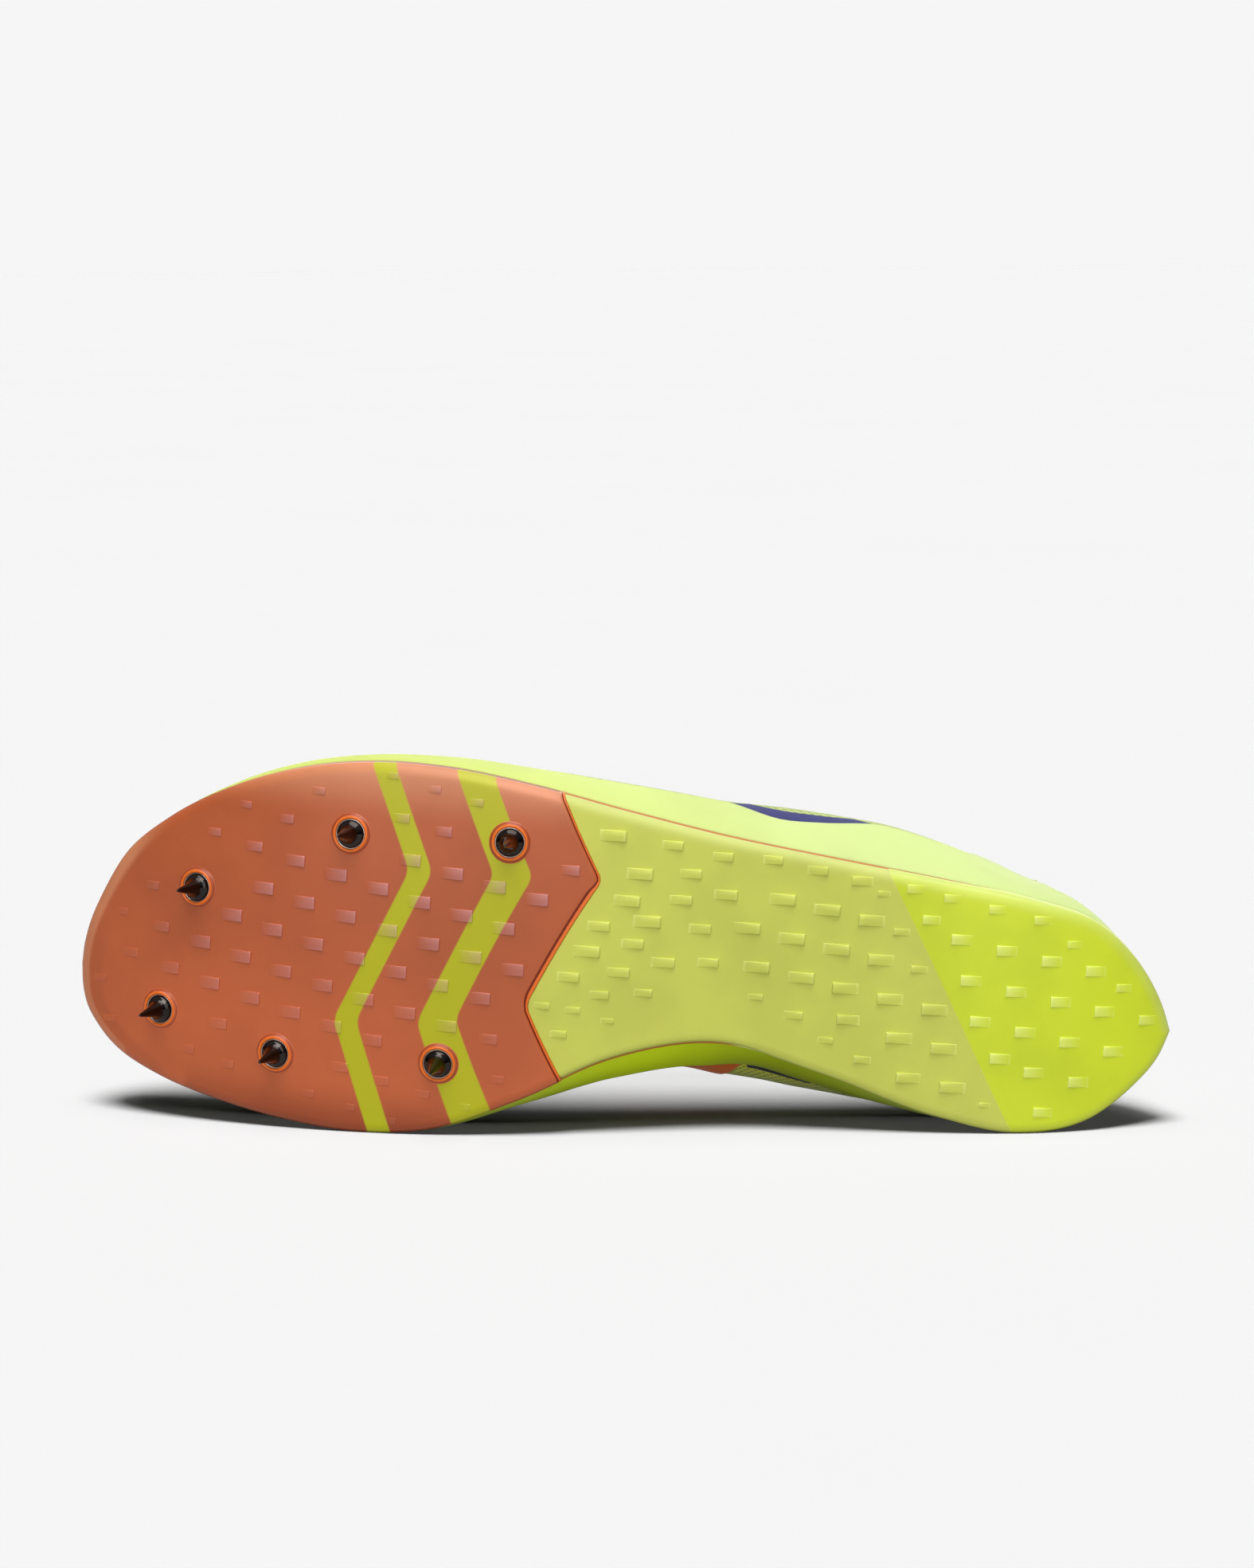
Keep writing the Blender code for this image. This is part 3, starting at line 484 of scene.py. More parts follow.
def spike_stand(spike):
    """Place of a spike on the sole's face, and the turn that points its z out of the sole."""
    share, across = share_at(spike.x), across_at(spike.x, spike.y)
    step = 0.01
    along = sole_face(share + step, across) - sole_face(share - step, across)
    side = sole_face(share, across + step) - sole_face(share, across - step)
    out = -unit(np.cross(along, side))
    out = -out if out[2] > 0 else out
    turn = Vector((0, 0, 1)).rotation_difference(Vector(out)).to_matrix()
    return sole_face(share, across), np.array(turn)


def spike_middle():
    """Height of a spike's centre of volume over the sole's face, from its frame's turned profile."""
    rings = [
        (FLANGE_HEIGHT + CONE_LENGTH, 0.0),
        (FLANGE_HEIGHT + CONE_LENGTH - TIP_RADIUS, TIP_RADIUS),
        (FLANGE_HEIGHT + 1.0, CONE_RADIUS),
        (FLANGE_HEIGHT, FLANGE_RADIUS),
        (0.0, FLANGE_RADIUS),
        (0.0, STUD_RADIUS),
        (-STUD_LENGTH, STUD_RADIUS),
    ]
    volume, moment = 0.0, 0.0
    for (top, over), (low, under) in zip(rings, rings[1:]):
        height = top - low
        part = height * (over**2 + over * under + under**2) / 3
        lift = height * (3 * over**2 + 2 * over * under + under**2) / 12
        volume += part
        moment += part * low + lift * height
    return moment / volume


def node_middle(name):
    """Centre of volume of a node of the frame, in metres."""
    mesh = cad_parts[name].data
    mesh.calc_loop_triangles()
    corners = np.array([[mesh.vertices[i].co for i in face.vertices] for face in mesh.loop_triangles])
    parts = np.einsum("ij,ij->i", corners[:, 0], np.cross(corners[:, 1], corners[:, 2]))
    return (corners.sum(axis=1) / 4 * parts[:, None]).sum(axis=0) / parts.sum()


def lying_turn():
    """Turn and shift that lay the shoe as the frame does, from where its six spikes are."""
    here, there = [], []
    for number, spike in enumerate(SPIKES, 1):
        place, turn = spike_stand(spike)
        here.append((place + turn @ (0, 0, spike_middle())) * MM)
        there.append(node_middle(f"spike_{number}"))
    here, there = np.array(here), np.array(there)
    u, _, v = np.linalg.svd((here - here.mean(axis=0)).T @ (there - there.mean(axis=0)))
    hand = np.sign(np.linalg.det(v.T @ u.T))
    turn = v.T @ np.diag([1.0, 1.0, hand]) @ u.T
    return turn, there.mean(axis=0) - turn @ here.mean(axis=0)


TURN, SHIFT = lying_turn()


def laid(points):
    """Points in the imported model's frame, flat on the floor where the shoe's softness rests."""
    row = np.asarray(points, float) * MM @ TURN.T + SHIFT
    row[..., 2] = np.maximum(row[..., 2], 0.0)
    return row


# A closed skin of points, with its faces, the number of its material, or one for each face, and named values
# at its points.
Solid = namedtuple("Solid", "points faces finish values")


def grid_faces(rows, columns, ring=False, start=0):
    """Corner numbers of the quads of a grid whose columns may close on themselves."""
    faces = []
    for r in range(rows - 1):
        for c in range(columns if ring else columns - 1):
            n = (c + 1) % columns
            corners = (r * columns + c, r * columns + n, (r + 1) * columns + n, (r + 1) * columns + c)
            faces.append(tuple(start + i for i in corners))
    return faces


def grid_rim(rows, columns):
    """Corner numbers round the outside of a grid."""
    rim = [(0, c) for c in range(columns)] + [(r, columns - 1) for r in range(1, rows)]
    rim += [(rows - 1, c) for c in range(columns - 2, -1, -1)] + [(r, 0) for r in range(rows - 2, 0, -1)]
    return [r * columns + c for r, c in rim]


def slab(low, high, finish=0, **values):
    """A closed sheet between two grids of points with the same rows and columns."""
    rows, columns = low.shape[:2]
    count = rows * columns
    faces = [face[::-1] for face in grid_faces(rows, columns)] + grid_faces(rows, columns, start=count)
    rim = grid_rim(rows, columns)
    for here, there in zip(rim, rim[1:] + rim[:1]):
        faces.append((here, there, there + count, here + count))
    points = np.concatenate([low.reshape(-1, 3), high.reshape(-1, 3)])
    doubled = {name: np.concatenate([value.reshape(count, -1)] * 2) for name, value in values.items()}
    return Solid(points, faces, finish, doubled)


def sweep(path, sides, breadth, depth, out, finish=0):
    """A closed rope with an oval section along a path, its breadth square to the directions in out."""
    path, out = np.asarray(path, float), np.asarray(out, float)
    run = unit(np.gradient(path, axis=0))
    flat = unit(np.cross(run, out))
    rise = unit(np.cross(flat, run))
    angle = np.linspace(0, 2 * np.pi, sides, endpoint=False)
    breadth = np.broadcast_to(breadth, len(path))[:, None, None]
    depth = np.broadcast_to(depth, len(path))[:, None, None]
    ring = flat[:, None] * np.cos(angle)[:, None] * breadth + rise[:, None] * np.sin(angle)[:, None] * depth
    points = (path[:, None] + ring / 2).reshape(-1, 3)
    faces = grid_faces(len(path), sides, True)
    faces += [tuple(range(sides))[::-1], tuple(len(points) - sides + i for i in range(sides))]
    length = np.concatenate([[0.0], np.cumsum(np.linalg.norm(np.diff(path, axis=0), axis=1))])
    cloth = np.zeros((len(path), sides, 3))
    cloth[..., 0] = length[:, None]
    cloth[..., 1] = np.cos(angle) * breadth[..., 0] / 2
    return Solid(points, faces, finish, {"cloth": cloth.reshape(-1, 3)})


def turned(profile, place, turn, sides, finish=0, **values):
    """A closed round solid from a loop of radius and height, stood at a place."""
    profile = np.asarray(profile, float)
    angle = np.linspace(0, 2 * np.pi, sides, endpoint=False)
    ring = np.stack([np.cos(angle), np.sin(angle), np.zeros(sides)], axis=-1)
    points = profile[:, None, :1] * ring + profile[:, None, 1:] * np.array([0, 0, 1.0])
    points = points.reshape(-1, 3) @ turn.T + place
    faces = grid_faces(len(profile), sides, True)
    if profile[0, 0] > 0:
        last = (len(profile) - 1) * sides
        faces += [(last + c, last + (c + 1) % sides, (c + 1) % sides, c) for c in range(sides)]
    named = {name: np.full((len(points), 1), value) for name, value in values.items()}
    return Solid(points, faces, finish, named)


SOLE_SLOTS = ("plate", "midfoot_pad", "heel_pad", "midsole")


def lit_group(name):
    """The objects that a light shines on, or is kept off by."""
    return bpy.data.collections.get(name) or bpy.data.collections.new(name)


def piece(name, shells, materials, slot, replaced=(), sharp=48.0):
    """One visible piece from closed shells, riding the shoe's one body in place of the nodes it stands for."""
    points, faces, finishes = [], [], []
    count = 0
    for shell in shells:
        points.append(shell.points)
        faces += [tuple(count + i for i in face) for face in shell.faces]
        finishes += shell.finish if isinstance(shell.finish, list) else [shell.finish] * len(shell.faces)
        count += len(shell.points)
    mesh = bpy.data.meshes.new(name)
    mesh.from_pydata(laid(np.concatenate(points)).tolist(), [], faces)
    for material in materials:
        mesh.materials.append(material)
    mesh.polygons.foreach_set("material_index", finishes)
    for key in sorted({key for shell in shells for key in shell.values}):
        wide = max(shell.values[key].shape[1] for shell in shells if key in shell.values)
        parts = [shell.values.get(key, np.zeros((len(shell.points), wide))) for shell in shells]
        made = mesh.attributes.new(key, "FLOAT" if wide == 1 else "FLOAT_VECTOR", "POINT")
        made.data.foreach_set("value" if wide == 1 else "vector", np.concatenate(parts).astype(np.float32).ravel())
    work = bmesh.new()
    work.from_mesh(mesh)
    bmesh.ops.remove_doubles(work, verts=work.verts, dist=2e-6)
    bmesh.ops.dissolve_degenerate(work, edges=work.edges, dist=1e-6)
    bmesh.ops.recalc_face_normals(work, faces=work.faces)
    work.to_mesh(mesh)
    work.free()
    mesh.shade_smooth()
    mesh.set_sharp_from_angle(angle=math.radians(sharp))
    made = bpy.data.objects.new(name, mesh)
    bpy.context.scene.collection.objects.link(made)
    lit_group("shoe_lit").objects.link(made)
    if slot in SOLE_SLOTS:
        lit_group("sole_blocks").objects.link(made)
    if slot == "insole":
        lit_group("insole_blocks").objects.link(made)
    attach(made, "root")
    if replaced:
        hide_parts(*replaced)
    return made


# Sole: grids over its zones, and the nubs on them.


def line_x(line, across):
    """x of a line over the sole at shares of its width, its corners rounded off."""
    knots = [row.across for row in line]
    values = [row.x for row in line]
    reach = np.linspace(-CORNER_ROUND, CORNER_ROUND, 9)
    return np.mean([np.interp(np.clip(across + step, 0, 1), knots, values) for step in reach], axis=0)


def rim_columns(width, count, inset):
    """Shares of the width for a layer's columns: close together along both edges, even between them."""
    squeeze = np.clip(0.4 * width / RIM[-1], 0.0, 1.0)
    low = (inset[0] + RIM * squeeze) / np.maximum(width, 1e-6)
    high = 1 - (inset[1] + RIM * squeeze) / np.maximum(width, 1e-6)
    even = np.linspace(0, 1, count + 2)[1:-1]
    between = low[..., -1:] * (1 - even) + high[..., -1:] * even
    return np.concatenate([low, between, high[..., ::-1]], axis=-1)


def zone_grid(back, front, rows, columns, inset=(0.0, 0.0)):
    """Shares along and across for a grid between two lines over the sole. No line means the sole's tip."""
    even = np.linspace(0, 1, rows + 2)[1:-1, None]
    across = np.linspace(0, 1, columns + 2 * len(RIM))[None, :]
    for _ in range(4):
        tip = np.ones((1, across.shape[1]))
        if back is None:
            last = share_at(line_x(front, across[-1]) - RIM[::-1, None])
            share = np.concatenate([0 * tip, last[0] * even**1.5, last])
        elif front is None:
            first = share_at(line_x(back, across[0]) + RIM[:, None])
            share = np.concatenate([first, 1 - (1 - first[-1]) * (1 - even) ** 1.5, tip])
        else:
            first = share_at(line_x(back, across[0]) + RIM[:, None])
            last = share_at(line_x(front, across[-1]) - RIM[::-1, None])
            share = np.concatenate([first, first[-1] * (1 - even) + last[0] * even, last])
        width = width_at(share.mean(axis=1))[:, None]
        across = rim_columns(width, columns, inset)
    return share, across


def over_ball(y):
    """Place across the shoe as a share of its width at the ball, from medial to lateral."""
    return np.clip((np.asarray(y, float) + 41.0) / 98.0, 0, 1)


def fillet(distance, radius):
    """Height of a rounded rim at a distance from its edge."""
    near = np.clip(radius - distance, 0, radius)
    return radius - np.sqrt(np.maximum(radius**2 - near**2, 0))


def nub_shell(x, y, kind, heelward, face, size, show=1.0):
    """A moulded wedge on the sole: flush at one end, standing up at the other, sunk at its root."""
    rise = np.array([-0.8, 0.0, 0.2, 0.45, 0.7, 0.88, 1.0, 0.97, 0.72, -0.8])
    run = np.array([0.0, 0.0, 0.15, 0.38, 0.62, 0.8, 0.92, 0.97, 1.0, 1.01])
    side = np.array([-0.8, 0.45, 0.85, 1.0, 1.0, 1.0, 0.85, 0.45, -0.8])
    over = np.array([-1.03, -1.0, -0.95, -0.86, 0.0, 0.86, 0.95, 1.0, 1.03])
    length, width = kind.length * size, kind.width * size
    along = (run - 0.5) * length * (-1 if heelward else 1)
    px, py = np.meshgrid(x + along, y + over * width / 2, indexing="ij")
    share = share_at(px)
    across = across_at(px, py)
    root = (rise[:, None] < 0) | (side[None, :] < 0)
    stand = kind.height * size * (0.5 + 0.5 * show)
    height = np.where(root, -0.6, stand * rise[:, None] * side[None, :])
    points = layer(share, across, face - height)
    rows, columns = points.shape[:2]
    rim = grid_rim(rows, columns)
    faces = grid_faces(rows, columns) + [tuple(rim[::-1])]
    # Painted highlight on the nub, strongest where it stands tallest.
    tip = np.clip(rise[:, None] * np.ones(columns), 0, 1) * min(size, 1.0) * show
    values = {"nub": tip, "ahead": px - line_x(ZIGZAG, across), "bare": np.ones(px.shape), "over": over_ball(py)}
    return Solid(points.reshape(-1, 3), faces, 0, {key: value.reshape(-1, 1) for key, value in values.items()})


def nub_places(kind, back, front):
    """Places of the nubs of one zone that keep clear of its rim and of the spikes, with their sizes."""
    steps = np.arange(-16, 17)
    i, j = np.meshgrid(steps, steps)
    x = kind.x + i * kind.along[0] + j * kind.between[0]
    y = kind.y + i * kind.along[1] + j * kind.between[1]
    x, y = x.ravel(), y.ravel()
    inside = (x > HEEL_TIP + 4) & (x < TOE_TIP - 4)
    x, y = x[inside], y[inside]
    across = across_at(x, y)
    gap = to_edge(np.stack([x, y], axis=-1))
    keep = (across > 0) & (across < 1) & (gap > kind.margin)
    half = kind.length / 2 + 1.0
    if back is not None:
        keep &= x - half > line_x(back, across) + 1.0
    if front is not None:
        keep &= x + half < line_x(front, across) - 0.6
    for spike in SPIKES:
        keep &= np.hypot(x - spike.x, y - spike.y) > SPIKE_CLEARANCE
    grown = np.clip((gap - kind.margin) / (kind.grown - kind.margin), 0, 1)
    size = kind.small + (1 - kind.small) * grown
    return list(zip(x[keep], y[keep], size[keep]))


def clear_of(places, others):
    """The places that keep their distance from other nubs."""
    return [
        place
        for place in places
        if all(math.hypot(place[0] - other.x, place[1] - other.y) > NUB_SPACING for other in others)
    ]


# Shader parts.


def add(tree, kind, inputs=(), **settings):
    """A shader node with its settings, each of its inputs given a value or another node's output."""
    made = tree.nodes.new("ShaderNode" + kind)
    for name, value in settings.items():
        setattr(made, name, value)
    for name, value in dict(inputs).items():
        if isinstance(value, bpy.types.NodeSocket):
            tree.links.new(value, made.inputs[name])
        else:
            made.inputs[name].default_value = value
    return made


def calc(tree, operation, *values, clamp=False):
    made = add(tree, "Math", dict(enumerate(values)), operation=operation, use_clamp=clamp)
    return made.outputs[0]


def spread(tree, value, low, high, start=0.0, end=1.0):
    """A value's reach between low and high, as a smooth step from start to end."""
    names = {"Value": value, "From Min": low, "From Max": high, "To Min": start, "To Max": end}
    return add(tree, "MapRange", names, interpolation_type="SMOOTHSTEP").outputs["Result"]


def mix(tree, share, first, second, blend="MIX"):
    """A mixed colour."""
    made = add(tree, "Mix", {"Factor": share}, data_type="RGBA", blend_type=blend)
    for name, value in (("A", first), ("B", second)):
        socket = [s for s in made.inputs if s.name == name and s.type == "RGBA"][0]
        if isinstance(value, bpy.types.NodeSocket):
            tree.links.new(value, socket)
        else:
            socket.default_value = (*value, 1.0)
    return [s for s in made.outputs if s.type == "RGBA"][0]


def new_group(name, inputs, outputs):
    """An empty shader node group with named sockets, and its two ends."""
    tree = bpy.data.node_groups.new(name, "ShaderNodeTree")
    for label, default in inputs:
        kind = "NodeSocketColor" if isinstance(default, tuple) else "NodeSocketFloat"
        socket = tree.interface.new_socket(label, in_out="INPUT", socket_type=kind)
        socket.default_value = (*default, 1.0) if isinstance(default, tuple) else default
    for label, kind in outputs:
        tree.interface.new_socket(label, in_out="OUTPUT", socket_type="NodeSocket" + kind)
    return tree, tree.nodes.new("NodeGroupInput").outputs, tree.nodes.new("NodeGroupOutput").inputs


def place_group(tree, name, **values):
    """Puts a node group in a material, with its own values."""
    made = tree.nodes.new("ShaderNodeGroup")
    made.node_tree = bpy.data.node_groups[name]
    for label, value in values.items():
        socket = made.inputs[label.replace("_", " ").capitalize()]
        if isinstance(value, bpy.types.NodeSocket):
            tree.links.new(value, socket)
        elif socket.type == "RGBA":
            socket.default_value = (*value, 1.0)
        else:
            socket.default_value = value
    return made.outputs


def make_tone_group():
    """Soft patches between two colours, with a roughness that wanders and a fine grain."""
    inputs = [("Colour", (0.5, 0.5, 0.5)), ("Deep", (0.3, 0.3, 0.3)), ("Patch scale", 60.0)]
    inputs += [("Grain scale", 1500.0), ("Roughness", 0.5), ("Wander", 0.1)]
    outputs = [("Colour", "Color"), ("Roughness", "Float"), ("Grain", "Float")]
    tree, given, result = new_group("surface_tone", inputs, outputs)
    place = add(tree, "TexCoord").outputs["Object"]
    patch = add(tree, "TexNoise", {"Vector": place, "Scale": given["Patch scale"], "Detail": 4.0})
    grain = add(tree, "TexNoise", {"Vector": place, "Scale": given["Grain scale"], "Detail": 3.0})
    share = spread(tree, patch.outputs["Fac"], 0.35, 0.68)
    tree.links.new(mix(tree, share, given["Colour"], given["Deep"]), result["Colour"])
    drift = calc(tree, "MULTIPLY", calc(tree, "SUBTRACT", patch.outputs["Fac"], 0.5), given["Wander"])
    tree.links.new(calc(tree, "ADD", given["Roughness"], drift, clamp=True), result["Roughness"])
    tree.links.new(grain.outputs["Fac"], result["Grain"])


def make_wear_group():
    """Where an edge stands out and has been rubbed."""
    tree, given, result = new_group("edge_wear", [("Amount", 0.5), ("Start", 0.52)], [("Mask", "Float")])
    bulge = add(tree, "NewGeometry").outputs["Pointiness"]
    end = calc(tree, "ADD", given["Start"], 0.06)
    worn = spread(tree, bulge, given["Start"], end)
    place = add(tree, "TexCoord").outputs["Object"]
    broken = add(tree, "TexNoise", {"Vector": place, "Scale": 420.0, "Detail": 3.0}).outputs["Fac"]
    patchy = calc(tree, "MULTIPLY", worn, spread(tree, broken, 0.3, 0.6))
    tree.links.new(calc(tree, "MULTIPLY", patchy, given["Amount"]), result["Mask"])


def cloth_place(tree):
    place = add(tree, "Attribute", attribute_name="cloth").outputs["Vector"]
    parts = add(tree, "SeparateXYZ", {"Vector": place}).outputs
    return parts["X"], parts["Y"]


def make_weave_group():
    """Over and under threads at a pitch in millimetres, read from the cloth's own lengths."""
    outputs = [("Height", "Float"), ("Gap", "Float")]
    tree, given, result = new_group("weave", [("Pitch", 0.6)], outputs)
    along, over = cloth_place(tree)
    turns = calc(tree, "DIVIDE", 2 * math.pi, given["Pitch"])
    warp = calc(tree, "SINE", calc(tree, "MULTIPLY", along, turns))
    weft = calc(tree, "SINE", calc(tree, "MULTIPLY", over, turns))
    height = calc(tree, "MULTIPLY_ADD", calc(tree, "MULTIPLY", warp, weft), 0.5, 0.5)
    tree.links.new(height, result["Height"])
    tree.links.new(spread(tree, height, 0.35, 0.05), result["Gap"])


def make_knit_group():
    """Offset rows of small oval openings between ribs of thread, at a pitch in millimetres."""
    outputs = [("Height", "Float"), ("Opening", "Float")]
    tree, given, result = new_group("knit", [("Pitch", 2.4), ("Row", 1.7)], outputs)
    along, over = cloth_place(tree)
    row = calc(tree, "DIVIDE", over, given["Row"])
    odd = calc(tree, "MULTIPLY", calc(tree, "MODULO", calc(tree, "FLOOR", row), 2.0), 0.5)
    step = calc(tree, "ADD", calc(tree, "DIVIDE", along, given["Pitch"]), odd)
    beside = calc(tree, "DIVIDE", calc(tree, "SUBTRACT", calc(tree, "FRACT", step), 0.5), 0.27)
    above = calc(tree, "DIVIDE", calc(tree, "SUBTRACT", calc(tree, "FRACT", row), 0.5), 0.33)
    away = calc(tree, "SQRT", calc(tree, "ADD", calc(tree, "POWER", beside, 2.0), calc(tree, "POWER", above, 2.0)))
    opening = spread(tree, away, 1.15, 0.7)
    rib = calc(tree, "SINE", calc(tree, "MULTIPLY", step, 8 * math.pi))
    height = calc(tree, "SUBTRACT", calc(tree, "MULTIPLY_ADD", rib, 0.12, 0.8), calc(tree, "MULTIPLY", opening, 0.7))
    tree.links.new(height, result["Height"])
    tree.links.new(opening, result["Opening"])


def new_material(name, plain=()):
    """A material and its shader, whose plain values are set on the shader's own sockets."""
    made = bpy.data.materials.new(name)
    made.use_nodes = True
    tree = made.node_tree
    shader = tree.nodes["Principled BSDF"]
    for socket, value in dict(plain).items():
        shader.inputs[socket].default_value = value
    return made, tree, shader.inputs


def set_bump(tree, sockets, height, strength, distance):
    names = {"Height": height, "Strength": strength, "Distance": distance * MM}
    tree.links.new(add(tree, "Bump", names).outputs["Normal"], sockets["Normal"])


def darker(colour, share):
    return tuple(channel * share for channel in colour)


def value_of(tree, name):
    return add(tree, "Attribute", attribute_name=name).outputs["Fac"]


def plate_material(looks, foam_colour):
    """Clear orange film over bands of print that echo the zigzag edge, with painted shade, light, sheen and
    highlights.
    """
    plain = {"Coat Weight": 0.12, "Coat Roughness": 0.22, "Specular IOR Level": 0.26}
    made, tree, sockets = new_material("plate_film", plain)
    # Painted shade along the medial edge and painted light over the medial side, by the place across the ball.
    over = value_of(tree, "over")
    medial_painted_shade_and_light = mix(tree, spread(tree, over, 0.0, 0.14), looks.plate_deep, looks.plate_medial)
    low = mix(tree, spread(tree, over, 0.25, 0.55), medial_painted_shade_and_light, looks.plate_colour)
    # Painted sheen along the lateral edge.
    painted_light_film = mix(tree, spread(tree, over, 0.84, 1.0), low, looks.plate_pale)
    film = place_group(
        tree,
        "surface_tone",
        colour=painted_light_film,
        deep=mix(tree, 0.12, painted_light_film, (0.0, 0.0, 0.0)),
        patch_scale=38.0,
        grain_scale=1800.0,
        roughness=0.36,
        wander=0.12,
    )
    ahead = value_of(tree, "ahead")
    first = calc(tree, "MULTIPLY", spread(tree, ahead, 17.7, 18.3), spread(tree, ahead, 28.3, 27.7))
    second = calc(tree, "MULTIPLY", spread(tree, ahead, 43.7, 44.3), spread(tree, ahead, 50.3, 49.7))
    print_mask = calc(tree, "ADD", first, second, clamp=True)
    printed = mix(tree, calc(tree, "MULTIPLY", print_mask, 0.92), film["Colour"], looks.motif_colour)
    # Painted highlight on the nub tips.
    pale = mix(tree, calc(tree, "MULTIPLY", value_of(tree, "nub"), 0.42), printed, looks.nub_painted_highlight)
    strip = value_of(tree, "strip")
    edged = mix(tree, spread(tree, strip, 0.55, 0.95), pale, looks.strip_colour)
    lined = mix(tree, spread(tree, strip, 1.2, 1.8), edged, looks.rim_colour)
    # Painted shade in the groove, round the spike seats and along the plate's rim, where the strip value is below
    # zero.
    grooved = mix(tree, spread(tree, strip, -0.4, -0.9), lined, looks.groove_painted_shade)
    covered = mix(tree, value_of(tree, "bare"), foam_colour, grooved)
    tree.links.new(covered, sockets["Base Color"])
    tree.links.new(film["Roughness"], sockets["Roughness"])
    set_bump(tree, sockets, film["Grain"], 0.05, 0.05)
    return made


def rubber_material(name, colour, pale, bloom, tip, roughness, coat):
    """Moulded rubber rubbed paler on its edges, with painted highlights on its nubs and along its lateral edge."""
    plain = {"Coat Weight": coat, "Coat Roughness": 0.3, "Specular IOR Level": 0.35}
    made, tree, sockets = new_material(name, plain)
    body = place_group(
        tree,
        "surface_tone",
        colour=colour,
        deep=darker(colour, 0.9),
        patch_scale=45.0,
        grain_scale=2600.0,
        roughness=roughness,
        wander=0.15,
    )
    worn = place_group(tree, "edge_wear", amount=0.4, start=0.53)
    rubbed = mix(tree, worn["Mask"], body["Colour"], pale)
    # Painted highlight on the nubs, by how tall they stand.
    nub_highlit = mix(tree, calc(tree, "MULTIPLY", value_of(tree, "nub"), tip), rubbed, pale)
    # Painted highlight along the lateral edge.
    highlit = mix(tree, calc(tree, "MULTIPLY", value_of(tree, "bloom"), 0.5), nub_highlit, bloom)
    tree.links.new(highlit, sockets["Base Color"])
    tree.links.new(body["Roughness"], sockets["Roughness"])
    set_bump(tree, sockets, body["Grain"], 0.18, 0.08)
    return made


def foam_material(looks):
    """Soft foam skin with a fine pebble, paler toward the heel, with painted bounce light on the medial arch wall and
    painted shade behind the arch.
    """
    made, tree, sockets = new_material("midsole_foam", {"Specular IOR Level": 0.3})
    wall = mix(tree, value_of(tree, "rear"), looks.foam_colour, looks.foam_rear)
    # Painted bounce light on the medial arch wall, with painted shade behind the arch.
    arch_painted_bounce_and_shade = mix(tree, value_of(tree, "shade"), looks.foam_arch, looks.foam_shade)
    colour = mix(tree, value_of(tree, "arch"), wall, arch_painted_bounce_and_shade)
    body = place_group(
        tree,
        "surface_tone",
        colour=colour,
        deep=mix(tree, 0.07, colour, (0.0, 0.0, 0.0)),
        patch_scale=30.0,
        grain_scale=1100.0,
        roughness=0.62,
        wander=0.12,
    )
    worn = place_group(tree, "edge_wear", amount=0.3, start=0.53)
    tree.links.new(mix(tree, worn["Mask"], body["Colour"], (1.0, 1.0, 0.7)), sockets["Base Color"])
    tree.links.new(body["Roughness"], sockets["Roughness"])
    place = add(tree, "TexCoord").outputs["Object"]
    pebble = add(tree, "TexVoronoi", {"Vector": place, "Scale": 900.0}, feature="SMOOTH_F1").outputs["Distance"]
    set_bump(tree, sockets, calc(tree, "ADD", pebble, body["Grain"]), 0.12, 0.12)
    return made


def knit_material(name, colour, opening_colour, pitch, row, arch_painted_bounce=None):
    """Engineered mesh: ribs of thread round small openings that show what is under them."""
    made, tree, sockets = new_material(name, {"Specular IOR Level": 0.15, "Sheen Weight": 0.06})
    deep = darker(colour, 0.9)
    # Painted bounce light on the mesh over the medial arch, with its openings in painted shade.
    if arch_painted_bounce is not None:
        colour = mix(tree, value_of(tree, "shade"), colour, arch_painted_bounce)
        deep = mix(tree, 0.1, colour, (0.0, 0.0, 0.0))
        opening_colour = mix(tree, value_of(tree, "shade"), opening_colour, darker(arch_painted_bounce, 0.3))
    body = place_group(
        tree,
        "surface_tone",
        colour=colour,
        deep=deep,
        patch_scale=26.0,
        grain_scale=3200.0,
        roughness=0.78,
        wander=0.15,
    )
    net = place_group(tree, "knit", pitch=pitch, row=row)
    tree.links.new(mix(tree, net["Opening"], body["Colour"], opening_colour), sockets["Base Color"])
    tree.links.new(body["Roughness"], sockets["Roughness"])
    rough = calc(tree, "MULTIPLY_ADD", body["Grain"], 0.25, net["Height"])
    set_bump(tree, sockets, rough, 0.6, 0.45)
    return made


def film_material(name, colour, roughness=0.42, shine=0.5):
    """Thin welded film with a faint emboss from the mesh below."""
    plain = {"Coat Weight": 0.24 * shine, "Coat Roughness": 0.35, "Specular IOR Level": shine}
    made, tree, sockets = new_material(name, plain)
    body = place_group(
        tree,
        "surface_tone",
        colour=colour,
        deep=darker(colour, 0.86),
        patch_scale=40.0,
        grain_scale=2200.0,
        roughness=roughness,
        wander=0.14,
    )
    worn = place_group(tree, "edge_wear", amount=0.45, start=0.53)
    pale = tuple(min(1.0, channel * 1.3 + 0.03) for channel in colour)
    tree.links.new(mix(tree, worn["Mask"], body["Colour"], pale), sockets["Base Color"])
    tree.links.new(body["Roughness"], sockets["Roughness"])
    net = place_group(tree, "knit", pitch=2.4, row=1.7)
    set_bump(tree, sockets, calc(tree, "MULTIPLY_ADD", body["Grain"], 0.5, net["Height"]), 0.16, 0.2)
    return made


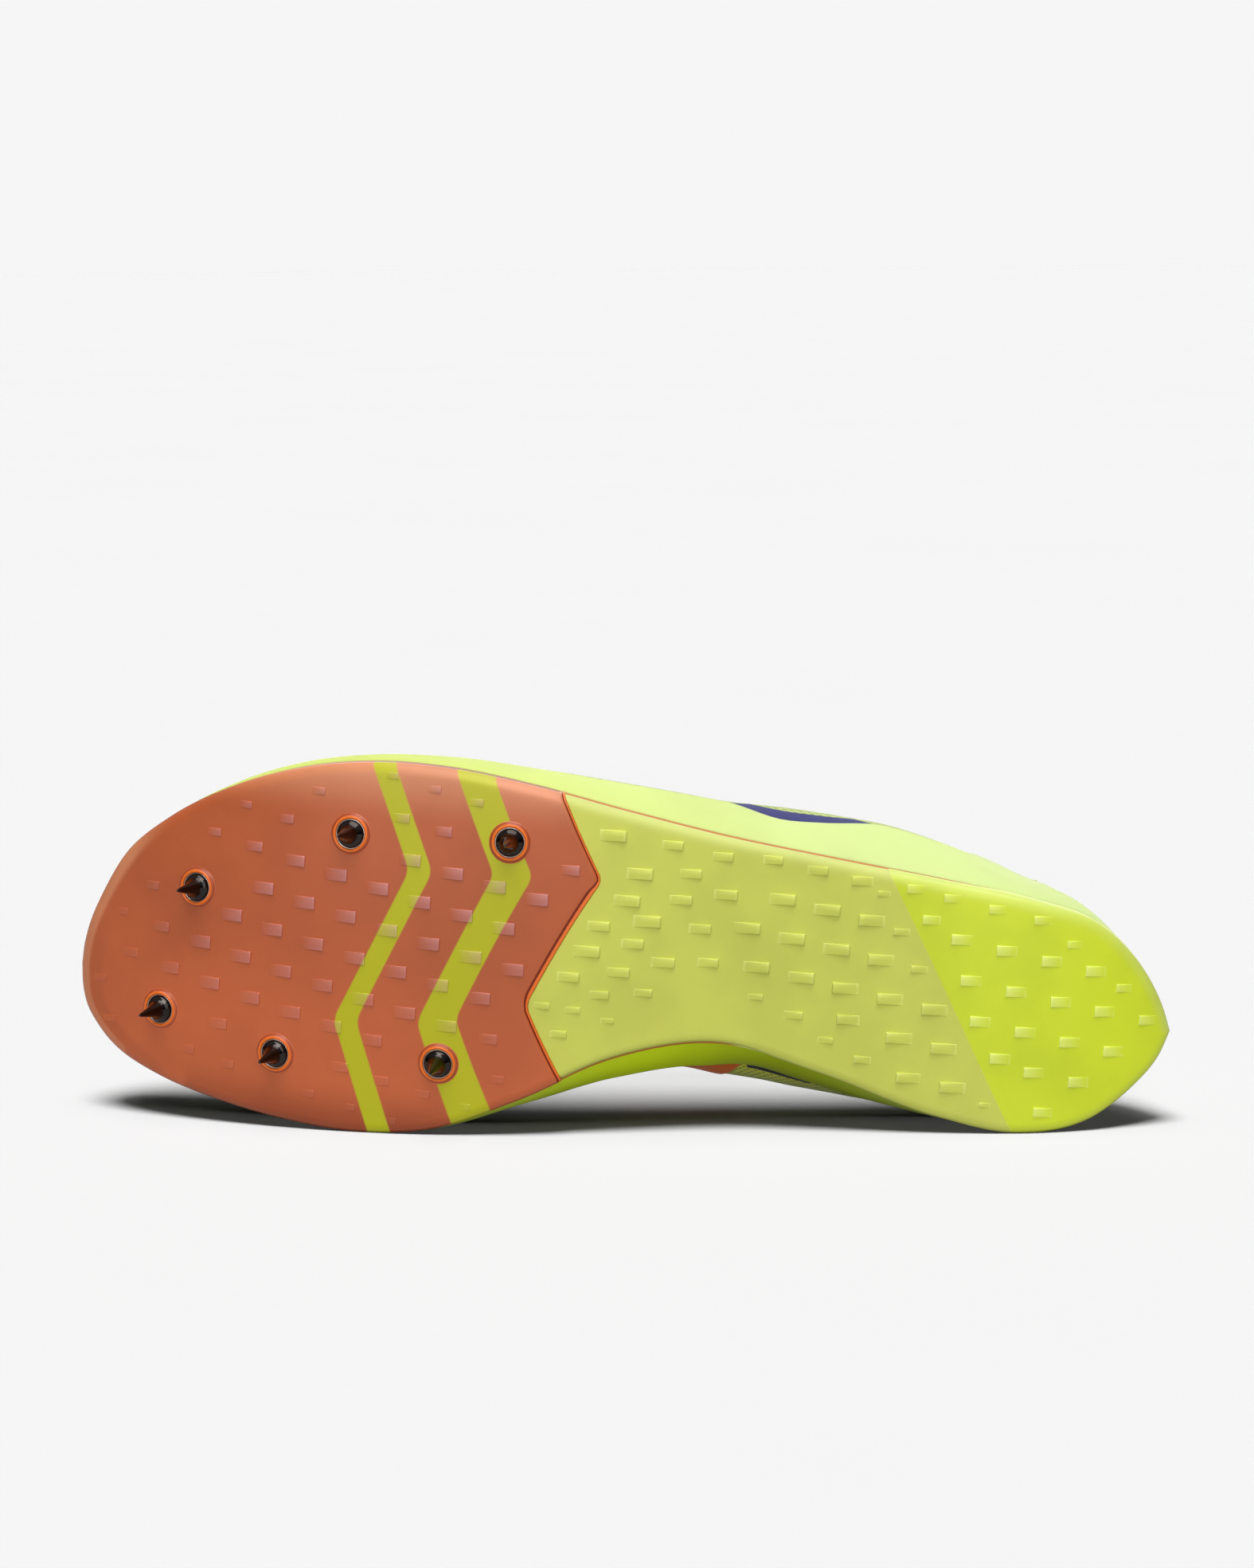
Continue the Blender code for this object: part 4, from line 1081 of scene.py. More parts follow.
def cloth_material(name, colour, pitch, roughness=0.85):
    """Plain woven cloth with dark gaps between its threads."""
    made, tree, sockets = new_material(name, {"Specular IOR Level": 0.2, "Sheen Weight": 0.3})
    body = place_group(
        tree,
        "surface_tone",
        colour=colour,
        deep=darker(colour, 0.84),
        patch_scale=55.0,
        grain_scale=4200.0,
        roughness=roughness,
        wander=0.12,
    )
    threads = place_group(tree, "weave", pitch=pitch)
    shade = calc(tree, "MULTIPLY", threads["Gap"], 0.55)
    tree.links.new(mix(tree, shade, body["Colour"], darker(colour, 0.35)), sockets["Base Color"])
    tree.links.new(body["Roughness"], sockets["Roughness"])
    rough = calc(tree, "MULTIPLY_ADD", body["Grain"], 0.3, threads["Height"])
    set_bump(tree, sockets, rough, 0.55, pitch * 0.3)
    return made


def metal_material(name, colour, roughness):
    """Turned steel with fine scuffs round its edges."""
    made, tree, sockets = new_material(name, {"Metallic": 1.0})
    body = place_group(
        tree,
        "surface_tone",
        colour=colour,
        deep=darker(colour, 0.7),
        patch_scale=220.0,
        grain_scale=6000.0,
        roughness=roughness,
        wander=0.12,
    )
    worn = place_group(tree, "edge_wear", amount=0.5, start=0.56)
    tree.links.new(mix(tree, worn["Mask"], body["Colour"], (0.32, 0.3, 0.28)), sockets["Base Color"])
    tree.links.new(body["Roughness"], sockets["Roughness"])
    set_bump(tree, sockets, body["Grain"], 0.05, 0.02)
    return made


# What a user may change.


def colour_of(name, description, default):
    return FloatVectorProperty(
        name=name, description=description, default=default, subtype="COLOR", size=3, min=0.0, max=1.0
    )


def length_of(name, description, default):
    return FloatProperty(
        name=name, description=description, default=default, unit="LENGTH", subtype="DISTANCE", min=0.0, precision=5
    )


def strength_of(name, description, default):
    return FloatProperty(name=name, description=description, default=default, min=0.0)


class SoleLooks(bpy.types.PropertyGroup):
    plate_colour: colour_of("Plate", "Clear film of the forefoot plate", (0.475, 0.105, 0.0335))
    # Painted light over the plate's medial side.
    plate_medial: colour_of("Plate, medial", "The film on the medial side", (0.545, 0.12, 0.038))
    # Painted shade along the plate's medial edge.
    plate_deep: colour_of("Plate, deep", "The film along the medial edge", (0.3, 0.055, 0.013))
    # Painted sheen along the plate's lateral edge.
    plate_pale: colour_of("Plate, pale", "The film along the lateral edge", (0.68, 0.26, 0.125))
    motif_colour: colour_of("Print", "Bands printed under the plate's film", (0.465, 0.485, 0.004))
    strip_colour: colour_of("Edge strip", "Bright edge of the plate and rings round the spikes", (0.78, 0.15, 0.012))
    rim_colour: colour_of("Rim line", "Thin line of the plate between foam and midfoot pad", (0.47, 0.15, 0.01))
    # Painted shade in the groove beside the edge strip.
    groove_painted_shade: colour_of("Edge groove", "Deep line beside the edge strip", (0.2, 0.014, 0.003))
    # Painted highlight on the plate's nub tips.
    nub_painted_highlight: colour_of("Nub tips", "Pale tips of the plate's nubs", (0.56, 0.28, 0.31))
    pad_colour: colour_of("Midfoot pad", "Matte rubber under the midfoot", (0.59, 0.625, 0.095))
    heel_colour: colour_of("Heel pad", "Bright rubber under the heel", (0.62, 0.725, 0.016))
    # Rubbed pale on worn edges; on the nubs the same colour is a painted highlight.
    pale_colour: colour_of("Rubbed rubber", "Where the pads' nubs and edges are rubbed pale", (0.82, 0.9, 0.3))
    # Painted highlight along the pads' lateral edge.
    painted_highlight_colour: colour_of("Bloom", "Whitish bloom along the pads' lateral edge", (0.5, 0.56, 0.24))
    pad_inset: length_of("Pad inset", "How far the plate's rim shows past the midfoot pad", 0.00024)


class UpperLooks(bpy.types.PropertyGroup):
    foam_colour: colour_of("Foam", "Midsole foam at the toe", (0.6, 0.7, 0.16))
    foam_rear: colour_of("Foam, rear", "Midsole foam at the heel", (0.57, 0.69, 0.25))
    # Painted bounce light on the foam's medial arch wall.
    foam_arch: colour_of("Foam, arch", "Midsole foam in the arch", (0.72, 0.92, 0.008))
    # Painted bounce light on the knit over the medial arch.
    knit_arch: colour_of("Knit, arch", "Knit over the arch, under the foam's edge", (0.95, 1.0, 0.02))
    # Painted shade on the foam behind the arch.
    foam_shade: colour_of("Foam, shade", "Midsole foam behind the arch", (0.36, 0.46, 0.004))
    knit_colour: colour_of("Mesh", "Knitted mesh of the upper", (0.52, 0.62, 0.22))
    film_colour: colour_of("Overlays", "Welded film at toe, heel and eyelets", (0.48, 0.6, 0.14))
    lateral_colour: colour_of("Lateral saddle", "Panel on the lateral side", (0.045, 0.048, 0.16))
    medial_colour: colour_of("Medial saddle", "Panel on the medial side", (0.9, 0.19, 0.025))
    # A dark band along the medial bite line over the arch.
    bite_band_colour: colour_of("Trim", "Dark edging", (0.012, 0.012, 0.014))
    lining_colour: colour_of("Lining", "Collar lining and insole cover", (0.5, 0.6, 0.2))
    lace_colour: colour_of("Lace", "Woven lace", (0.12, 0.12, 0.4))
    lace_width: length_of("Lace width", "Breadth of the flat lace", 0.0042)
    lace_thickness: length_of("Lace thickness", "Thickness of the flat lace", 0.0014)


class SpikeLooks(bpy.types.PropertyGroup):
    pin_colour: colour_of("Pin", "Dark steel of the spikes", (0.035, 0.03, 0.028))
    socket_colour: colour_of("Socket", "Bright steel ring that holds a spike", (0.62, 0.61, 0.6))


class StageLooks(bpy.types.PropertyGroup):
    floor_colour: colour_of("Floor", "Plain pale floor", (0.12, 0.12, 0.12))
    backdrop_colour: colour_of("Backdrop", "What the camera sees past the floor", (0.92, 0.92, 0.92))
    bounce_colour: colour_of("Bounce", "How the floor throws light back on the shoe", (0.0355, 0.0355, 0.0355))
    floor_key: strength_of("Floor key", "Light on the floor, which gives the sole its shadow", 19.8)
    floor_fill: strength_of("Floor fill", "Weakest light on the floor, kept off by the insole only", 1.0)
    floor_soft: strength_of("Floor soft", "Weaker light on the floor, kept off by the whole shoe", 4.2)
    top_soft: strength_of("Top soft", "Broad light on the shoe from above", 2.7)
    front_soft: strength_of("Front soft", "Broad light on the shoe from the camera's side", 2.2)
    back_soft: strength_of("Back soft", "Broad light on the shoe from behind", 1.2)
    fill: strength_of("Fill", "Light from all round", 0.06)
    gloss: strength_of("Gloss", "Bright ceiling that shiny pieces mirror", 0.5)
    focal: FloatProperty(
        name="Focal length", description="Camera lens over a 36 mm frame", default=88.94, unit="CAMERA", min=1.0
    )


class ShoeLooks(bpy.types.PropertyGroup):
    sole: PointerProperty(name="Sole", description="Plate, pads and nubs", type=SoleLooks)
    upper: PointerProperty(name="Upper", description="Foam, upper and lace", type=UpperLooks)
    spikes: PointerProperty(name="Spikes", description="Pins and sockets", type=SpikeLooks)
    stage: PointerProperty(name="Stage", description="Floor, light and camera", type=StageLooks)


# Pieces of the sole.

STRIP_WIDTH = 1.2
GROOVE_WIDTH = 0.5
STRIP_NARROW = 0.42
STRIP_FACE = 0.5
GROOVE_FACE = 0.75
RIM_TONE = 2.0
MEDIAL_RIM = 2.8


def flank(across):
    """1 on the zigzag's middle flank, where the strip is seen broad, and 0 on the other two."""
    return np.clip((across - 0.31) / 0.04, 0, 1) * np.clip((0.72 - across) / 0.04, 0, 1)


def plate_shells():
    """The plate from heel to toe: thin over the pads, then a strip, a groove and the bare thick forefoot."""
    share_thin, across_thin = zone_grid(None, ZIGZAG, 60, 74)
    share_bare, across_bare = zone_grid(ZIGZAG, None, 104, 74)
    heights = [np.full(share_thin.shape, PLATE_STEP)]
    strips = [np.full(share_thin.shape, RIM_TONE)]
    shares, acrosses = [share_thin], [across_thin]
    line = line_x(ZIGZAG, across_bare[0])
    broad = STRIP_NARROW + (1 - STRIP_NARROW) * flank(across_bare[0])
    # Rows of the edge strip, then of the groove, whose strip value below zero takes painted shade.
    for ahead, height, strip in (
        (0.0, PLATE_STEP, 1.0),
        (0.03, STRIP_FACE + 0.18, 1.0),
        (0.2, STRIP_FACE, 1.0),
        (STRIP_WIDTH - 0.2, STRIP_FACE, 1.0),
        (STRIP_WIDTH - 0.05, STRIP_FACE + 0.08, 0.6),
        (STRIP_WIDTH + 0.12, GROOVE_FACE, -1.0),
        (STRIP_WIDTH + GROOVE_WIDTH - 0.1, GROOVE_FACE, -1.0),
    ):
        shares.append(share_at(line + ahead * broad)[None])
        acrosses.append(across_bare[:1])
        heights.append(np.full(shares[-1].shape, height))
        strips.append(np.full(shares[-1].shape, strip))
    start = (STRIP_WIDTH + GROOVE_WIDTH) * broad
    from_line = np.maximum(plan(share_bare, across_bare)[..., 0] - line_x(ZIGZAG, across_bare), 0)
    moved = share_at(plan(share_bare, across_bare)[..., 0] + start * np.clip(1 - from_line / 40.0, 0, 1))
    shares.append(moved)
    acrosses.append(across_bare)
    heights.append(fillet(from_line, 0.8) * 0.9)
    # Painted shade line where the bare plate rises from the groove.
    strips.append(np.where(from_line < 0.12, -0.8, 0.0))
    share, across = np.concatenate(shares), np.concatenate(acrosses)
    height, strip = np.concatenate(heights), np.concatenate(strips)
    place = plan(share, across)
    rim = fillet(to_edge(place), 0.9)
    height = np.minimum(height + np.where(height < PLATE_STEP, rim, 0.0), PLATE_BACK - 0.2)
    ahead = place[..., 0] - line_x(ZIGZAG, across)
    # Painted shade line along the plate's outer rim, where it meets the foam.
    strip = np.where((ahead > STRIP_WIDTH) & (to_edge(place) < 0.05), -0.75, strip)
    shown = np.clip(pad_inset(place[..., 0], across, 1.0), 0, 1) * (to_edge(place) < 1.2)
    bare = np.where(ahead > -0.5, 1.0, shown)
    over = over_ball(place[..., 1])
    # Painted sheen along the toe's rim: the place across is pushed toward the lateral edge's painted sheen.
    near_rim = np.clip(1.5 * (1 - to_edge(place) / 7.0), 0, 1)
    toe_painted_sheen = 0.9 * np.clip((place[..., 0] - 255.0) / 18.0, 0, 1) * near_rim
    over = over + (1 - over) * toe_painted_sheen
    low = layer(share, across, height)
    high = layer(share, across, np.full(share.shape, PLATE_BACK))
    return [slab(low, high, 0, ahead=ahead, strip=strip, bare=bare, over=over)]


SEAT_LOOP = [
    (5.5, -0.5), (5.5, -0.02), (5.15, 0.1), (4.85, 0.42), (4.72, 0.72), (4.6, 0.86), (4.38, 0.92),
    (4.14, 0.86), (3.98, 0.7), (3.92, 0.45), (3.92, -0.5),
]


def seat_shells():
    """A moulded ring round each spike, its crest in the strip colour, with painted shade at its foot and inner lip.
    """
    shells = []
    for spike in SPIKES:
        place, turn = spike_stand(spike)
        made = turned(SEAT_LOOP, place, turn, 64)
        # Strip colour on the crest, painted shade at the outer foot and the inner lip.
        ring_tone_and_shade = np.repeat([-0.2, -0.2, -0.75, -0.5, 0.7, 1.0, 1.0, 1.0, 1.0, 0.6, -0.8], 64)[:, None]
        over = np.full(ring_tone_and_shade.shape, over_ball(spike.y))
        shells.append(made._replace(values={"strip": ring_tone_and_shade, "bare": np.ones(ring_tone_and_shade.shape), "over": over}))
    return shells


def pad_inset(x, across, most):
    """How far the midfoot pad stops short of the plate's rim: the rim goes under it behind the waist."""
    lateral = np.clip((x - 44.0) / 14.0, 0.0, 1.0)
    medial = MEDIAL_RIM * np.clip((x - 110.0) / 8.0, 0.0, 1.0)
    return most * np.where(across > 0.5, lateral, medial)


def heel_ease(distance):
    """How the heel pad's face sinks to the midfoot pad's along the line between them."""
    return (PAD_FACE - HEEL_FACE - 0.02) * np.clip(1 - distance / 7.0, 0, 1) ** 2


def zigzag_ease(distance):
    """How the midfoot pad is rounded down along the zigzag."""
    return fillet(distance, 0.3)


def pad_shell(back, front, rows, columns, face, most, ease):
    """A pad between two lines over the sole, rounded down along its sides and eased down to its front line."""
    inset = (0.0, 0.0)
    if back is not None:
        share, _ = zone_grid(back, front, rows, columns)
        x = edge(share.mean(axis=1), 1)[:, :1]
        inset = (pad_inset(x, 0.0, most), pad_inset(x, 1.0, most))
    share, across = zone_grid(back, front, rows, columns, inset)
    place = plan(share, across)
    short = np.where(across > 0.5, inset[1], inset[0])
    rim = fillet(np.maximum(to_edge(place) - short, 0), 1.1)
    ends = ease(np.maximum(line_x(front, across) - place[..., 0], 0))
    low = layer(share, across, np.minimum(face + rim + ends, PAD_BACK - 0.05))
    high = layer(share, across, np.full(share.shape, PAD_BACK))
    # Painted highlight along the pad's edge, strong on the lateral side.
    bloom = np.clip(1 - to_edge(place) / 3.6, 0, 1) * np.where(across > 0.5, 1.0, 0.2)
    return slab(low, high, 0, bloom=bloom)


class SHOE_OT_plate(bpy.types.Operator):
    """Builds the forefoot plate with its edge strip, nubs and spike seats"""

    bl_idname = "shoe.plate"
    bl_label = "Plate"

    def execute(self, context):
        looks = context.scene.shoe_looks.sole
        shells = plate_shells() + seat_shells()
        for x, y, size in nub_places(PLATE_NUBS, ZIGZAG, None):
            # Toward the medial side and the toe the nubs stand lower and their painted highlight fades.
            show = np.clip(1.7 * over_ball(y) - 0.1, 0.2, 1) * np.clip((284.0 - x) / 34.0, 0.3, 1)
            shells.append(nub_shell(x, y, PLATE_NUBS, True, 0.0, size, show))
        film = plate_material(looks, context.scene.shoe_looks.upper.foam_colour)
        piece("sole_plate", shells, [film], "plate", ["plate"])
        return {"FINISHED"}


class SHOE_OT_pads(bpy.types.Operator):
    """Builds the rubber pads under midfoot and heel, with their nubs"""

    bl_idname = "shoe.pads"
    bl_label = "Pads"

    def execute(self, context):
        looks = context.scene.shoe_looks.sole
        inset = looks.pad_inset / MM
        shells = [pad_shell(HEEL_LINE, ZIGZAG, 74, 46, PAD_FACE, inset, zigzag_ease)]
        places = [
            (x, y, size)
            for x, y, size in nub_places(MIDFOOT_NUBS, HEEL_LINE, ZIGZAG)
            if x < FRONT_START and (x < ARCH_BARE[0] or y > ARCH_BARE[1])
        ]
        for x, y, size in clear_of(places, BACK_NUBS) + BACK_NUBS + FRONT_NUBS:
            shells.append(nub_shell(x, y, MIDFOOT_NUBS, x > NUB_TURN_X, PAD_FACE, size))
        # The rubbed colour serves worn edges and the nubs' painted highlight, whose share is given per pad.
        pale, bloom = looks.pale_colour, looks.painted_highlight_colour
        rubber = rubber_material("midfoot_rubber", looks.pad_colour, pale, bloom, 0.02, 0.5, 0.05)
        piece("sole_midfoot_pad", shells, [rubber], "midfoot_pad", ["midfoot_pad"])
        shells = [pad_shell(None, HEEL_LINE, 60, 46, HEEL_FACE, 0.0, heel_ease)]
        for x, y, size in clear_of(nub_places(HEEL_NUBS, None, HEEL_LINE), HEEL_RIM_NUBS) + HEEL_RIM_NUBS:
            shells.append(nub_shell(x, y, HEEL_NUBS, False, HEEL_FACE, size))
        rubber = rubber_material("heel_rubber", looks.heel_colour, pale, bloom, 0.45, 0.4, 0.2)
        piece("sole_heel_pad", shells, [rubber], "heel_pad", ["heel_pad"])
        return {"FINISHED"}


PIN_PROFILE = [
    (0.0, 10.5), (0.16, 10.46), (0.3, 10.3), (0.42, 9.9), (0.62, 8.9), (0.88, 7.6), (1.16, 6.2), (1.46, 4.8),
    (1.78, 3.5), (2.1, 2.5), (2.4, 1.9), (2.68, 1.55), (3.0, 1.34), (3.3, 1.12), (3.5, 0.84), (3.6, 0.5),
    (3.58, 0.2), (3.5, 0.02), (2.25, 0.0), (2.25, -3.2), (0.0, -3.2),
]
SOCKET_LOOP = [
    (3.91, -0.2), (3.91, 0.36), (3.87, 0.46), (3.79, 0.5), (3.71, 0.46), (3.67, 0.34), (3.64, 0.1), (3.64, -0.2),
]


class SHOE_OT_spikes(bpy.types.Operator):
    """Builds the six screwed-in pins and the steel rings that hold them"""

    bl_idname = "shoe.spikes"
    bl_label = "Spikes"

    def execute(self, context):
        looks = context.scene.shoe_looks.spikes
        pin = metal_material("pin_steel", looks.pin_colour, 0.1)
        ring = metal_material("socket_steel", looks.socket_colour, 0.14)
        for number, spike in enumerate(SPIKES, 1):
            place, turn = spike_stand(spike)
            shells = [turned(PIN_PROFILE, place, turn, 56), turned(SOCKET_LOOP, place, turn, 56, 1)]
            piece(f"pin_{number}", shells, [pin, ring], "spike", [f"spike_{number}"], 60.0)
        return {"FINISHED"}


WALL_STEPS = np.array([0.0, 0.02, 0.06, 0.14, 0.26, 0.4, 0.54, 0.68, 0.8, 0.89, 0.95, 0.985])
WALL_BULGE = 0.9
BITE_ROUND = 1.1


def foam_sides(share, side):
    """Rows of the foam's wall from the plate's back to the rounded bite line, for each share."""
    foot = layer(share, np.full(share.shape, 0.5 + 0.5 * side), np.full(share.shape, FOAM_FACE))
    head = bite(share, side)
    out = np.concatenate([outward(share, side), np.zeros(share.shape + (1,))], axis=-1)
    up = upright(foot[..., 0])
    rows = []
    for t in WALL_STEPS:
        point = foot * (1 - t) + head * t
        swell = WALL_BULGE * math.sin(math.pi * t**0.8) - fillet(np.array(t * 16.0), 0.6)
        tall = np.linalg.norm(head - foot, axis=-1, keepdims=True)
        round_off = fillet((1 - t) * tall, BITE_ROUND)
        rows.append(point + out * (swell - round_off))
    rows.append(head - out * BITE_ROUND + up * 0.0)
    return rows


def footbed(share, across, lift=0.0, inset=0.0):
    """Top of the foam: the bite line's two edges with a shallow dish between them."""
    medial, lateral = bite(share, -1, inset), bite(share, 1, inset)
    t = np.asarray(across, float)[..., None]
    flat = medial * (1 - t) + lateral * t
    from_edge = np.minimum(across, 1 - across) * np.linalg.norm(lateral - medial, axis=-1)
    dish = FOOTBED_DISH * (1 - np.exp(-from_edge / 6.0))
    return flat + upright(flat[..., 0]) * (lift - dish)[..., None]


class SHOE_OT_midsole(bpy.types.Operator):
    """Builds the foam midsole with its flared, rounded wall"""

    bl_idname = "shoe.midsole"
    bl_label = "Midsole"

    def execute(self, context):
        t = np.linspace(0, 1, 190)
        share = t - 0.09 * np.sin(2 * np.pi * t)
        face = [layer(share, np.full(share.shape, a), np.full(share.shape, FOAM_FACE)) for a in np.linspace(0.06, 0.94, 9)]
        bed = [footbed(share, np.full(share.shape, a)) for a in np.linspace(0.96, 0.04, 22)]
        rings = face + foam_sides(share, 1) + bed + foam_sides(share, -1)[::-1]
        points = np.stack(rings, axis=1)
        x = points[..., 0]
        rear = np.clip((210.0 - x) / 130.0, 0, 1)
        # Masks for the painted bounce light on the medial arch wall and the painted shade behind it.
        arch = np.exp(-(((x - ARCH_PLACE - 8.0) / 66.0) ** 4))
        arch[:, : len(face) + len(WALL_STEPS) + 1 + len(bed) // 2] = 0.0
        shade = np.clip((132.0 - x) / 34.0, 0, 1)
        values = {"rear": rear.reshape(-1, 1), "arch": arch.reshape(-1, 1), "shade": shade.reshape(-1, 1)}
        shell = Solid(points.reshape(-1, 3), grid_faces(len(share), len(rings), True), 0, values)
        foam = foam_material(context.scene.shoe_looks.upper)
        made = piece("midsole_foam", [shell], [foam], "midsole", ["midsole"], 55.0)
        return {"FINISHED"}


# Pieces of the upper.


def cloth_lengths(points):
    """Lengths along the rows and columns of a grid of points, as the cloth's own measure."""
    up = np.linalg.norm(np.diff(points, axis=0), axis=-1)
    along = np.linalg.norm(np.diff(points, axis=1), axis=-1).mean(axis=0)
    cloth = np.zeros(points.shape)
    cloth[1:, :, 1] = np.cumsum(up, axis=0)
    cloth[:, 1:, 0] = np.cumsum(along)
    return cloth


def collar_swell(ring, up):
    """Padding under the collar: most near the topline round the ankle, none along the throat."""
    share = 1 - np.abs(1 - np.mod(ring, 2.0))
    ankle = np.clip((0.44 - share) / 0.1, 0, 1)
    return 1.3 * ankle * np.exp(-(((up - 0.86) / 0.13) ** 2))


def vamp_creases(ring, up):
    """Shallow folds where the forefoot bends."""
    share = 1 - np.abs(1 - np.mod(ring, 2.0))
    fold = np.zeros(np.broadcast(share, up).shape)
    for place, lean, deep in ((0.70, 0.10, 0.35), (0.735, 0.12, 0.5), (0.775, 0.13, 0.4)):
        fold -= deep * np.exp(-(((share - place - lean * (up - 0.4)) / 0.010) ** 2))
    return fold * np.clip(1 - np.abs(up - 0.42) / 0.4, 0, 1)


def upper_shell():
    ring = np.linspace(0, 2, 420, endpoint=False)[None, :]
    up = np.linspace(-0.05, 1.0, 64)[:, None]
    ring, up = np.broadcast_arrays(ring, up)
    proud = collar_swell(ring, up) + vamp_creases(ring, up)
    outer = skin(ring, up, proud)
    inner = skin(ring, up, -np.full(ring.shape, WALL) - 0.5 * collar_swell(ring, up))
    middle = (outer[-1] + inner[-1]) / 2
    arm = outer[-1] - middle
    rise = unit(outer[-1] - outer[-4]) * np.linalg.norm(arm, axis=-1, keepdims=True)
    roll = [middle + arm * math.cos(a) + rise * math.sin(a) for a in np.linspace(0, math.pi, 9)[1:-1]]
    points = np.concatenate([outer, np.stack(roll), inner[::-2], inner[:1]])
    rows, columns = points.shape[:2]
    faces = grid_faces(rows, columns, True)
    last = (rows - 1) * columns
    faces += [(last + c, last + (c + 1) % columns, (c + 1) % columns, c) for c in range(columns)]
    cloth = cloth_lengths(points)
    inside = len(outer) + len(roll) - 2
    finish = [int(row >= inside) for row in range(rows) for _ in range(columns)]
    shade = np.zeros((rows, columns))
    # Mask for the painted bounce light and shade on the mesh over the medial arch.
    arch = np.exp(-(((outer[..., 0] - ARCH_PLACE) / 26.0) ** 4))
    shade[: len(outer)] = arch * (ring > 1) * np.clip(1 - up / 0.4, 0, 1)
    values = {"cloth": cloth.reshape(-1, 3), "shade": shade.reshape(-1, 1)}
    return Solid(points.reshape(-1, 3), faces, finish, values)


def overlay(ring, up, thick, finish=0, round_over=4):
    """A thin panel on the upper's skin over a grid of places, its rim rounded down to the mesh."""
    rows, columns = ring.shape
    r = np.minimum(np.arange(rows), np.arange(rows)[::-1])[:, None]
    c = np.minimum(np.arange(columns), np.arange(columns)[::-1])[None, :]
    near = np.clip(np.minimum(r, c) / round_over, 0, 1)
    proud = thick * np.sqrt(1 - (1 - near) ** 2) + collar_swell(ring, up) + vamp_creases(ring, up)
    high = skin(ring, up, proud)
    low = skin(ring, up, np.full(ring.shape, -0.5))
    return slab(low, high, finish, cloth=cloth_lengths(high))


def crowd(count, edge_share=0.02):
    """Shares from 0 to 1 with a few close together at each end."""
    ends = edge_share * np.array([0.0, 0.08, 0.25, 0.55, 1.0])
    inner = np.linspace(edge_share, 1 - edge_share, count)[1:-1]
    return np.concatenate([ends, inner, 1 - ends[::-1]])


def band(start, end, low, high, columns, rows, thick):
    """An overlay between two heights, each a function of the share of the way from start to end."""
    t = crowd(columns)[None, :]
    s = crowd(rows, 0.05)[:, None]
    t, s = np.broadcast_arrays(t, s)
    return overlay(start + (end - start) * t, low(t) * (1 - s) + high(t) * s, thick)


def toe_guard():
    top = lambda t: 0.05 + 0.27 * np.sin(np.pi * t) ** 0.7
    return band(0.74, 1.26, lambda t: -0.04 + 0 * t, top, 150, 18, 0.55)


def heel_counter():
    top = lambda t: 0.08 + 0.5 * np.sin(np.pi * t) ** 0.6
    return band(-0.21, 0.21, lambda t: -0.04 + 0 * t, top, 110, 26, 0.6)


def eyestay():
    low = lambda t: 0.80 - 0.1 * np.sin(np.pi * t) ** 4
    return band(0.455, 1.545, low, lambda t: 0.985 + 0 * t, 190, 14, 0.6)


def find_skin(side, x, z):
    """Ring and up of the places on one side of the upper that are seen from that side at x and z."""
    shares, ups = np.linspace(0.08, 0.62, 217), np.linspace(-0.06, 0.97, 104)
    net = skin(ring_of(shares[None], side), ups[:, None], np.zeros((len(ups), len(shares))))
    found = np.zeros(x.shape + (2,))
    step_share, step_up = np.gradient(net, axis=1), np.gradient(net, axis=0)
    for place in np.ndindex(x.shape):
        away = (net[..., 0] - x[place]) ** 2 + (net[..., 2] - z[place]) ** 2
        i, j = np.unravel_index(np.argmin(away), away.shape)
        slopes = np.array([step_share[i, j, [0, 2]], step_up[i, j, [0, 2]]]).T
        miss = np.array([x[place] - net[i, j, 0], z[place] - net[i, j, 2]])
        over = np.clip(np.linalg.solve(slopes, miss), -1.0, 1.0)
        found[place] = (shares[j] + over[0] * (shares[1] - shares[0]), ups[i] + over[1] * (ups[1] - ups[0]))
    return ring_of(found[..., 0], side), found[..., 1]


def saddle(side, foot, head, top=0.0, lift=0.0):
    """A plain panel from the bite line up: x of its two edges at foot and head, and its top's z or its height."""
    s = crowd(40)[:, None]
    t = crowd(18, 0.05)[None, :]
    s, t = np.broadcast_arrays(s, t)
    foot_x = foot[0] + (foot[1] - foot[0]) * t
    head_x = head[0] + (head[1] - head[0]) * t
    base = bite(share_at(foot_x), side, FEATHER_INSET, FEATHER_LIFT)[..., 2]
    x = foot_x * (1 - s) + head_x * s
    high = base + lift if lift else top
    ring, up = find_skin(side, x, (base - 2.0) * (1 - s) + high * s)
    return overlay(ring, up, 0.5)


def stitch_row(ring, up, proud, length=2.0, gap=0.8, width=0.55, finish=0):
    """Sewn stitches along a path on the upper."""
    path = skin(ring, up, np.full(np.shape(ring), proud))
    out = unit(read_net(SKIN_OUT, ring, up))
    along = np.concatenate([[0.0], np.cumsum(np.linalg.norm(np.diff(path, axis=0), axis=1))])
    shells = []
    for start in np.arange(0.4, along[-1] - length, length + gap):
        at = start + length * np.linspace(0, 1, 6)
        points = np.stack([np.interp(at, along, path[:, k]) for k in range(3)], axis=-1)
        lift = np.stack([np.interp(at, along, out[:, k]) for k in range(3)], axis=-1)
        arch = np.array([-0.35, 0.05, 0.16, 0.16, 0.05, -0.35])[:, None]
        slim = np.array([0.55, 0.9, 1.0, 1.0, 0.9, 0.55]) * width
        shells.append(sweep(points + lift * arch, 6, slim, slim * 0.8, lift, finish))
    return shells


